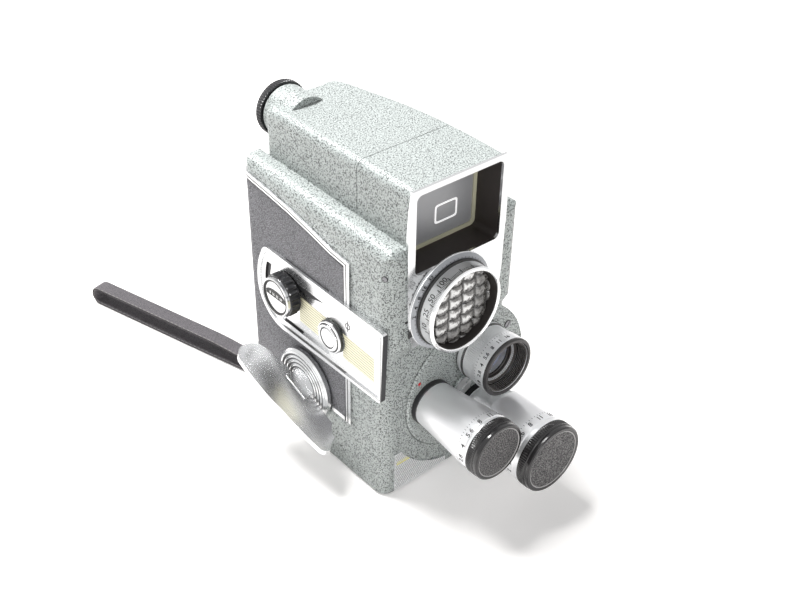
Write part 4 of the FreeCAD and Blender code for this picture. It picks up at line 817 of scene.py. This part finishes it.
class CINE_OT_honeycomb(bpy.types.Operator):
    """Plate of lens cells over the light cell of the electric eye"""

    bl_idname = "cine.honeycomb"
    bl_label = "Honeycomb"

    def execute(self, context):
        """Each cell is the ball sqrt(R^2 - d^2) about its own middle; balls meet along straight valleys.

        A narrow bell of the distance to the cell's side cuts the valley a little deeper.
        """
        wide, tall = CELL_SIZE
        ball = context.scene.cine_camera.cell_ball
        radius, thick = 16.6, 1.2
        cut_depth, cut_width = 0.25, 0.16
        r = np.linspace(0.0, radius, 100)[:, None]
        angle = np.linspace(0, TAU, 330, endpoint=False)[None, :]
        x, y = r * np.cos(angle), r * np.sin(angle)
        dx = (x + EYE[0] - CELL_CORNER[0]) % wide - wide / 2
        dy = (y + EYE[1] - CELL_CORNER[1]) % tall - tall / 2
        lowest = math.sqrt(ball ** 2 - (wide ** 2 + tall ** 2) / 4)
        dome = np.sqrt(ball ** 2 - dx ** 2 - dy ** 2) - lowest
        side = np.minimum(wide / 2 - np.abs(dx), tall / 2 - np.abs(dy))
        dome = dome - cut_depth * np.exp(-(side / cut_width) ** 2)
        seat = front_seat(*EYE, y=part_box("honeycomb")[1][1] / MM)
        top = seat.points(x, y, thick + dome)
        foot = seat.points(x[::-1], y[::-1], np.zeros_like(x))
        shell = np.concatenate([top, foot])
        plate = grid_piece("honeycomb_plate", shell, "glass_clear", (False, True), 70)
        tell(plate, "casing", "glass_clear", "honeycomb")
        return {"FINISHED"}


class CINE_OT_normal_lens(bpy.types.Operator):
    """Barrel, baffle and figures of the uncapped objective"""

    bl_idname = "cine.normal_lens"
    bl_label = "Normal lens"

    def execute(self, context):
        seat = front_seat(*LENSES["normal"])
        profile = [(6, -3), (7.9, -3), (7.9, 0), (12.3, 0), (12.6, 0.6), (12.6, 1.9), (13.2, 2.2),
                   (13.2, 3.4), (12.8, 3.8), (12.9, 10.2), (13.3, 10.8), (13.6, 16.6), (13.6, 17.9),
                   (13.1, 18.4), (12, 18.4), (11.6, 17.6), (11.2, 12.4), (9.4, 12), (8.4, 9), (8.4, 5),
                   (6, 5)]
        knurl = ribs(90, 0.18, 4.4, 9.8, 0.7, 12.6)
        barrel = turned("normal_lens_barrel", seat, profile, "normal_barrel", 540, 0.5, knurl)
        tell(barrel, "turret", "lens_silver", "normal_barrel")
        ridge = np.arange(7)
        crest = np.stack([11.62 - 0.05 * ridge, 17.5 - 0.75 * ridge], -1)
        hollow = np.stack([11.15 - 0.05 * ridge, 17.3 - 0.75 * ridge], -1)
        ladder = np.stack([crest, hollow], 1).reshape(-1, 2).tolist()
        throat = [(10.9, 12.7), (9.6, 12.15), (9.3, 11.2), (8.8, 10.8), (8.7, 9.9), (8.3, 9.6), (8.3, 8.95)]
        back = [(8.45, 8.95), (9.45, 11.95), (11.3, 12.4), (11.7, 17.6)]
        baffle = turned("normal_lens_baffle", seat, ladder + throat + back, "baffle", 128, 0.5)
        tell(baffle, "turret", "black_paint")
        section = [(10.55, 12.6), (10.95, 12.7), (10.95, 13.0), (10.55, 12.9)]
        tell(turned("normal_lens_inner_line", seat, section, "bright", 128, 0.5), "turret", "bright")
        wall = on_wall(seat, 15.4, [(10.8, 13.33), (16.6, 13.62)], 140)
        figures = numerals("normal_lens_figures", "1.8   2.8   4   5.6   8   11   16", 2.5, wall)
        tell(figures, "turret", "lens_silver")
        return {"FINISHED"}


class CINE_OT_capped_lenses(bpy.types.Operator):
    """Ribbed caps and figures of the tele and wide objectives"""

    bl_idname = "cine.capped_lenses"
    bl_label = "Capped lenses"

    def execute(self, context):
        caps = {
            "tele": [(0, 39.8), (12.45, 39.8), (12.45, 35.2), (13.1, 35.2), (13.1, 38.6), (12.8, 39),
                     (12.95, 39.6), (12.9, 40.7), (12.4, 41.2), (11.4, 41.2), (11.15, 40.95), (0, 41.0)],
            "wide": [(0, 46.2), (15.15, 46.2), (15.15, 41.7), (15.9, 41.7), (15.9, 45.2), (15.5, 45.6),
                     (15.65, 46.2), (15.6, 47.2), (15.1, 47.7), (13.9, 47.7), (13.55, 47.4), (0, 47.45)],
        }
        for name, profile in caps.items():
            bore, foot, shoulder = profile[2][0], profile[3][1], profile[4][1]
            knurl = ribs(96, 0.22, foot + 0.3, shoulder - 0.2, 0.7, bore + 0.2)
            seat = front_seat(*LENSES[name])
            cap = turned(f"{name}_lens_cap", seat, profile, f"{name}_cap", 576, 0.55, knurl)
            tell(cap, f"{name}_cap", "black_gloss", f"{name}_cap")
        cone, tube = [(4, 10.24), (32.6, 12.94), (33.4, 12.94)], [(17.2, 15.44), (38.8, 15.54)]
        scales = {
            "tele": ("2    2.8    4    5.6    8    11   16", 33.4, cone, 132),
            "wide": ("2    2.8    4    5.6    8    11    16", 38.0, tube, 128),
        }
        for name, (stops, height, wall, middle) in scales.items():
            around = on_wall(front_seat(*LENSES[name]), height, wall, middle)
            tell(numerals(f"{name}_lens_figures", stops, 3.1, around), "turret", "lens_silver")
        return {"FINISHED"}


class CINE_OT_front_marks(bpy.types.Operator):
    """Index dots, pivot head, screws, pin and index strokes of the front wall and its corner"""

    bl_idname = "cine.front_marks"
    bl_label = "Front marks"

    def execute(self, context):
        button = [(0, -0.2), (0.8, -0.2), (0.8, 0.1), (0.55, 0.22), (0, 0.25)]
        dot = turned("turret_index_dot", front_seat(-14.9, 55.1), button, "red", 32, 0.3)
        tell(dot, "turret", "hammertone_dark")
        point = [(0, -0.2), (0.4, -0.2), (0.35, 0.12), (0, 0.15)]
        dot = turned("pivot_index_dot", front_seat(6.35, 43.56, PIVOT_FACE), point, "red", 24, 0.2)
        tell(dot, "turret", "steel")
        pivot = slotted_screw("turret_pivot_head", front_seat(*TURRET, PIVOT_FACE), 4.2, 0.55, "steel")
        tell(pivot, "turret", "steel")
        corner = Seat((-32.85, -42.32, 114.6), (-0.935, -0.355, 0), (0.355, -0.935, 0))
        for name, seat, radius, height in (("front_wall_screw", front_seat(36.8, 60.9, -42.8), 1.7, 0.5),
                                           ("corner_screw", corner, 1.0, 0.3)):
            tell(slotted_screw(name, seat, radius, height, "screw", 0.9), "casing", "steel")
            # A dark ring round each screw is painted shadow.
            inner, outer = radius - 0.1, radius + 0.3
            ring = [(inner, -0.2), (outer, -0.2), (outer, 0.06), (inner, 0.1)]
            painted_shadow_ring = turned(f"{name}_gap", seat, ring, "ink", 48, 0.2)
            tell(painted_shadow_ring, "casing", "steel")
        peg = [(0, -0.2), (0.55, -0.2), (0.5, 0.35), (0, 0.5)]
        pin = turned("front_wall_pin", front_seat(-25.0, 92.5, -45.8), peg, "ink", 24, 0.3)
        tell(pin, "casing", "steel")
        bezel = front_seat(0, 0, EYE_FOOT)
        arrow = [(-24.7, 90.2), (-22.2, 85.4), (-24.7, 85.0)]
        tell(slab("eye_index", bezel, arrow, -0.1, 0.08, "ink"), "casing", "bright")
        stroke = [(-1.0, 111.9), (-0.4, 111.9), (-0.4, 115.2), (-1.0, 115.2)]
        tell(slab("bezel_index", bezel, stroke, -0.1, 0.08, "ink"), "casing", "bright")
        return {"FINISHED"}


class CINE_OT_finder_marks(bpy.types.Operator):
    """Bright frame line on the finder window"""

    bl_idname = "cine.finder_marks"
    bl_label = "Finder line"

    def execute(self, context):
        seat = front_seat(6.4, 125.05, -32.7)
        line = rounded_frame("finder_frame_line", seat, (5.95, 4.25), 0.8, -0.05, 0.1, "bright_line")
        tell(line, "casing", "glass_clear")
        return {"FINISHED"}


class CINE_OT_eyepiece(bpy.types.Operator):
    """Ribbed eyepiece ring"""

    bl_idname = "cine.eyepiece"
    bl_label = "Eyepiece"

    def execute(self, context):
        seat = Seat((-9.8, 50.6, 142), (0, 1, 0), (-1, 0, 0))
        profile = [(6.6, -2.8), (7.9, -2.8), (7.9, 0.3), (12, 0.3), (12.3, 0.7), (12.3, 3.2), (11.6, 4),
                   (10.4, 4), (9.4, 3.9), (8.2, 3.0), (7.0, 1.4), (6.6, 0.6)]
        knurl = ribs(60, 0.45, 0.4, 3.5, 0.6, 11.5)
        ring = turned("eyepiece_cup", seat, profile, "black_gloss", 480, 0.4, knurl)
        tell(ring, "eyepiece_ring", "black_gloss", "eyepiece_ring")
        return {"FINISHED"}


class CINE_OT_speed_dial(bpy.types.Operator):
    """Ribbed speed dial with its bright rim, the dark line on it, dark band and figures"""

    bl_idname = "cine.speed_dial"
    bl_label = "Speed dial"

    def execute(self, context):
        seat = key_seat(*DIAL)
        profile = [(0, -5), (3.2, -5), (3.2, -3.6), (2, -3.6), (2, 2), (9.4, 2), (9.8, 2.4), (9.8, 6.3),
                   (9.4, 6.8), (8.9, 7), (0, 7)]
        knurl = ribs(24, 0.9, 2.2, 6.7, 0.45, 8.95)
        grip = turned("speed_dial_grip", seat, profile, "black_gloss", 528, 0.4, knurl)
        tell(grip, "speed_dial", "black_paint", "speed_dial")
        rim = [(0, 6.9), (8.9, 6.9), (8.9, 8.3), (8.5, 8.7), (8.1, 8.7), (7.9, 8.2), (0, 8.2)]
        tell(turned("speed_dial_cap", seat, rim, "bright", 192, 0.4), "speed_dial", "bright")
        line = [(7.15, 8.1), (7.15, 8.32), (7.5, 8.45), (7.7, 8.8), (8.15, 8.8), (8.15, 8.1)]
        tell(turned("speed_dial_line", seat, line, "ink", 192, 0.4), "speed_dial", "black_paint")
        left, right, foot = 7.0, -6.6, -0.6
        across = np.linspace(left, right, 40)
        arch = np.stack([across, 0.2 + 3.1 * np.sqrt(np.maximum(1 - (across / 7.1) ** 2, 0))], -1)
        outline = [(right, foot), (left, foot), *arch.tolist()]
        band = slab("speed_dial_band", seat, outline, 8.1, 8.28, "ink")
        tell(band, "speed_dial", "black_paint")

        def on_band(u, v, w):
            return seat.points(u + 0.2, v + 0.3, 8.3 + w)

        figures = numerals("speed_dial_figures", "8  16  32  64", 1.7, on_band, "white")
        tell(figures, "speed_dial", "bright")
        return {"FINISHED"}


class CINE_OT_run_button(bpy.types.Operator):
    """Stepped run button"""

    bl_idname = "cine.run_button"
    bl_label = "Run button"

    def execute(self, context):
        profile = [(0, -5), (4, -5), (4, -4.2), (2.5, -4.2), (2.5, 2.3), (7.4, 2.3), (7.4, 3.4), (7, 4),
                   (6.55, 4.1), (6.35, 3.95), (6.15, 4.15), (6, 4.7), (5.4, 5), (4.8, 4.7), (4.6, 4.5),
                   (0, 4.62)]
        button = turned("run_button_cap", key_seat(*BUTTON), profile, "button", 192, 0.4)
        tell(button, "run_button", "bright", "run_button")
        return {"FINISHED"}


class CINE_OT_side_marks(bpy.types.Operator):
    """Film plane mark on the control plate and the raised rings on the winding hub"""

    bl_idname = "cine.side_marks"
    bl_label = "Side marks"

    def execute(self, context):
        seat = key_seat(-21.9, 81.6, -34.8)
        section = [(1.15, -0.1), (1.5, -0.1), (1.5, 0.08), (1.15, 0.08)]
        tell(turned("film_plane_circle", seat, section, "ink", 48, 0.3), "casing", "bright")
        stroke = [(-0.18, -2.6), (0.18, -2.6), (0.18, 2.6), (-0.18, 2.6)]
        tell(slab("film_plane_stroke", seat, stroke, -0.1, 0.07, "ink"), "casing", "bright")
        crest = 8.0 + 2.0 * np.arange(4)[:, None] + np.array([0.0, 0.4, 1.2, 1.6])
        level = np.broadcast_to([0.05, 0.45, 0.45, 0.05], crest.shape)
        ridges = np.stack([crest.ravel(), level.ravel()], -1).tolist()
        profile = [(7.4, -0.3), *ridges, (16.0, -0.1), (16.0, -0.3)]
        rings = turned("winding_hub_rings", key_seat(*KEY_HUB, -37.4), profile, "hub", 200, 0.4)
        tell(rings, "winding_key", "bright")
        return {"FINISHED"}


class CINE_OT_strap(bpy.types.Operator):
    """Stitched leather loop on the lug"""

    bl_idname = "cine.strap"
    bl_label = "Wrist strap"

    def execute(self, context):
        """A flat superellipse band carried round the loop's side view.

        The side view is a small turn round the lug bar, a strand that rises and runs level, a wider turn
        at the far end and a strand back along the table. The band's outward way is the line's way turned a
        quarter.
        """
        near_radius, far_radius, reach = 3.0, 4.4, 112.0
        lower_height, far_height = 0.82, 5.22
        half_width, half_thickness = 4.0, 0.78
        near = np.linspace(1.5, 0.5, 25)[:-1] * math.pi
        far = np.linspace(0.5, -0.5, 31)[:-1] * math.pi
        run = np.linspace(0, 1, 81)[:-1]
        rise = run * run * (3 - 2 * run)
        quick = np.clip(run * 3.0, 0, 1)
        quick = quick * quick * (3 - 2 * quick)
        low, far_middle = lower_height - STRAP_BAR[2], far_height - STRAP_BAR[2]
        first = np.stack([near_radius * np.cos(near), near_radius * np.sin(near)], -1)
        upper = np.stack([reach * run, near_radius + (far_middle + far_radius - near_radius) * quick], -1)
        turn = np.stack([reach + far_radius * np.cos(far), far_middle + far_radius * np.sin(far)], -1)
        lower = np.stack([reach * (1 - run), low + (-near_radius - low) * rise ** 6], -1)
        line = np.concatenate([first, upper, turn, lower])
        way = np.roll(line, -1, 0) - np.roll(line, 1, 0)
        way /= np.linalg.norm(way, axis=1)[:, None]
        out = np.stack([-way[:, 1], way[:, 0]], -1)
        forward = np.array([-math.sin(STRAP_LEAN), math.cos(STRAP_LEAN), 0.0])
        side = np.array([math.cos(STRAP_LEAN), math.sin(STRAP_LEAN), 0.0])
        rising = np.array([0.0, 0.0, 1.0])
        round_way = np.linspace(0, TAU, 48, endpoint=False)
        flat = np.sign(np.cos(round_way)) * np.abs(np.cos(round_way)) ** 0.35 * half_width
        thick = np.sign(np.sin(round_way)) * np.abs(np.sin(round_way)) ** 0.7 * half_thickness
        centre = np.array(STRAP_BAR) + line[:, :1] * forward + line[:, 1:] * rising
        lift = out[:, :1] * forward + out[:, 1:] * rising
        points = centre[:, None] + flat[None, :, None] * side + thick[None, :, None] * lift[:, None]
        band = grid_piece("wrist_strap_leather", points * MM, "strap", (True, True), 50, "band")
        tell(band, "strap", "strap", "wrist_strap")
        return {"FINISHED"}


class CINE_OT_stage(bpy.types.Operator):
    """Pale floor, soft lamps and the view of the photograph"""

    bl_idname = "cine.stage"
    bl_label = "Stage"

    def execute(self, context):
        sizes = context.scene.cine_camera
        self.floor(sizes)
        self.sky(sizes)
        self.lamp("overhead_softbox", (-0.13, 0.45, 1.12), 0.5, sizes.key_power)
        self.lamp("side_fill", (-1.1, -0.35, 0.6), 0.8, sizes.key_power * 0.05)
        self.lamp("window_glint", (-0.15, -1.2, 0.32), 0.42, sizes.key_power * 0.09)
        self.view(sizes)
        return {"FINISHED"}

    def floor(self, sizes):
        """Pale paper that keeps shadows and, to the view, to mirrors and through glass, glows a little.

        The glow grows with the distance from the object, so that the far paper is white.
        """
        half = 4
        corners = [(-half, -half, 0), (half, -half, 0), (half, half, 0), (-half, half, 0)]
        mesh = bpy.data.meshes.new("floor")
        mesh.from_pydata(corners, [], [(0, 1, 2, 3)])
        sheet = bpy.data.objects.new("floor", mesh)
        bpy.context.scene.collection.objects.link(sheet)
        paper = Finish("white_paper", Roughness=0.9, Specular_IOR_Level=0.0, Base_Color=(0.87, 0.852, 0.838))
        rays = paper.node("ShaderNodeLightPath", {}).socket.node.outputs
        camera, glossy, through = (Value(paper, rays[f"Is {kind} Ray"])
                                   for kind in ("Camera", "Glossy", "Transmission"))
        seen = camera.larger(glossy).larger(through)
        x, y, _ = paper.axes()
        far = ((x * x + y * y) ** 0.5).ramp(350, 1300, 0, 0.5)
        glow = paper.node("ShaderNodeEmission", {}, Strength=seen * (far + sizes.paper_glow))
        both = paper.node("ShaderNodeAddShader", {}).socket.node
        output = next(n for n in paper.tree.nodes if n.type == "OUTPUT_MATERIAL")
        paper.tree.links.new(paper.shader.outputs[0], both.inputs[0])
        paper.tree.links.new(glow.socket, both.inputs[1])
        paper.tree.links.new(both.outputs[0], output.inputs["Surface"])
        mesh.materials.append(paper.material)

    def sky(self, sizes):
        """The world lights the object at the sky's level; the view, mirrors and glass see it white."""
        world = bpy.data.worlds.new("studio")
        bpy.context.scene.world = world
        world.use_nodes = True
        tree = world.node_tree
        shade = next(n for n in tree.nodes if n.type == "BACKGROUND")
        rays = tree.nodes.new("ShaderNodeLightPath")
        seen = rays.outputs["Is Camera Ray"]
        for kind in ("Is Glossy Ray", "Is Transmission Ray"):
            either = tree.nodes.new("ShaderNodeMath")
            either.operation = "MAXIMUM"
            tree.links.new(seen, either.inputs[0])
            tree.links.new(rays.outputs[kind], either.inputs[1])
            seen = either.outputs[0]
        level = tree.nodes.new("ShaderNodeMapRange")
        level.inputs["To Min"].default_value = sizes.sky
        level.inputs["To Max"].default_value = 1.0
        tree.links.new(seen, level.inputs["Value"])
        tree.links.new(level.outputs[0], shade.inputs["Strength"])
        shade.inputs["Color"].default_value = (1, 1, 1, 1)

    def lamp(self, name, spot, size, power):
        """Round soft lamp that looks at the object's middle."""
        middle = np.array((0, 0, 0.08))
        data = bpy.data.lights.new(name, "AREA")
        data.shape = "DISK"
        data.size = size
        data.energy = power
        made = bpy.data.objects.new(name, data)
        back = np.array(spot, float) - middle
        back /= np.linalg.norm(back)
        right = np.cross((0, 0, 1.0), back)
        right /= np.linalg.norm(right)
        made.matrix_world = self.placed(right, np.cross(back, right), back, spot)
        bpy.context.scene.collection.objects.link(made)

    def placed(self, right, up, back, spot):
        """Matrix that turns an object's axes to right, up and back, and sets it down at the spot."""
        rows = [[*row] for row in zip(right, up, back, spot)]
        return Matrix([*rows, [0, 0, 0, 1]])

    def view(self, sizes):
        """The view of the photograph, which fits the corners and circles seen in it."""
        data = bpy.data.cameras.new("view")
        data.lens = sizes.lens
        data.sensor_width = 36
        data.shift_x = 0.0034455
        data.shift_y = 0.0016798
        data.clip_start = 0.01
        eye = bpy.data.objects.new("view", data)
        right = (0.757553, -0.652623, 0.014048)
        up = (0.371925, 0.449209, 0.812332)
        back = (-0.536457, -0.610159, 0.583026)
        spot = (-0.26008, -0.3079, 0.3554)
        eye.matrix_world = self.placed(right, up, back, spot)
        bpy.context.scene.collection.objects.link(eye)
        bpy.context.scene.camera = eye
        bpy.context.scene.view_settings.view_transform = "Standard"


class CINE_PG_sizes(bpy.types.PropertyGroup):
    """Sizes and colours that a user of the camera would change."""

    enamel: FloatVectorProperty(name="Enamel", description="Colour of the hammered enamel",
                                subtype="COLOR", default=(0.342, 0.369, 0.36), min=0, max=1)
    leather: FloatVectorProperty(name="Leather cloth", description="Colour of the side covering",
                                 subtype="COLOR", default=(0.195, 0.195, 0.208), min=0, max=1)
    cell_ball: FloatProperty(name="Cell radius", description="Radius of a light cell's dome, in millimetres",
                             default=6.9, min=5, max=20)
    lens: FloatProperty(name="Focal length", description="Focal length of the view",
                        default=51.1702, min=20, max=120, unit="CAMERA")
    key_power: FloatProperty(name="Lamp power", description="Power of the overhead lamp",
                             default=25.0, min=0, max=100, unit="POWER")
    sky: FloatProperty(name="Sky", description="Brightness of the surroundings on the object",
                       default=0.37, min=0, max=2)
    paper_glow: FloatProperty(name="Paper", description="Brightness added to the floor near the object",
                              default=0.25, min=0, max=1)


class CINE_PT_panel(bpy.types.Panel):
    """Lists the making steps and the sizes that they use."""

    bl_label = "Cine Camera"
    bl_idname = "CINE_PT_panel"
    bl_space_type = "VIEW_3D"
    bl_region_type = "UI"
    bl_category = "Cine Camera"

    def draw(self, context):
        sizes = context.scene.cine_camera
        for name in CINE_PG_sizes.__annotations__:
            self.layout.prop(sizes, name)
        for step in STEPS:
            self.layout.operator(step.bl_idname)


STEPS = [CINE_OT_finishes, CINE_OT_eye, CINE_OT_honeycomb, CINE_OT_normal_lens, CINE_OT_capped_lenses,
         CINE_OT_front_marks, CINE_OT_finder_marks, CINE_OT_eyepiece, CINE_OT_speed_dial,
         CINE_OT_run_button, CINE_OT_side_marks, CINE_OT_strap, CINE_OT_stage]
CLASSES = [CINE_PG_sizes, *STEPS, CINE_PT_panel]


def register():
    for item in CLASSES:
        bpy.utils.register_class(item)
    bpy.types.Scene.cine_camera = PointerProperty(type=CINE_PG_sizes)


def unregister():
    del bpy.types.Scene.cine_camera
    for item in reversed(CLASSES):
        bpy.utils.unregister_class(item)


def main():
    register()
    for step in STEPS:
        getattr(bpy.ops.cine, step.bl_idname.split(".")[1])()
    bpy.context.view_layer.update()


if __name__ == "__main__":
    main()
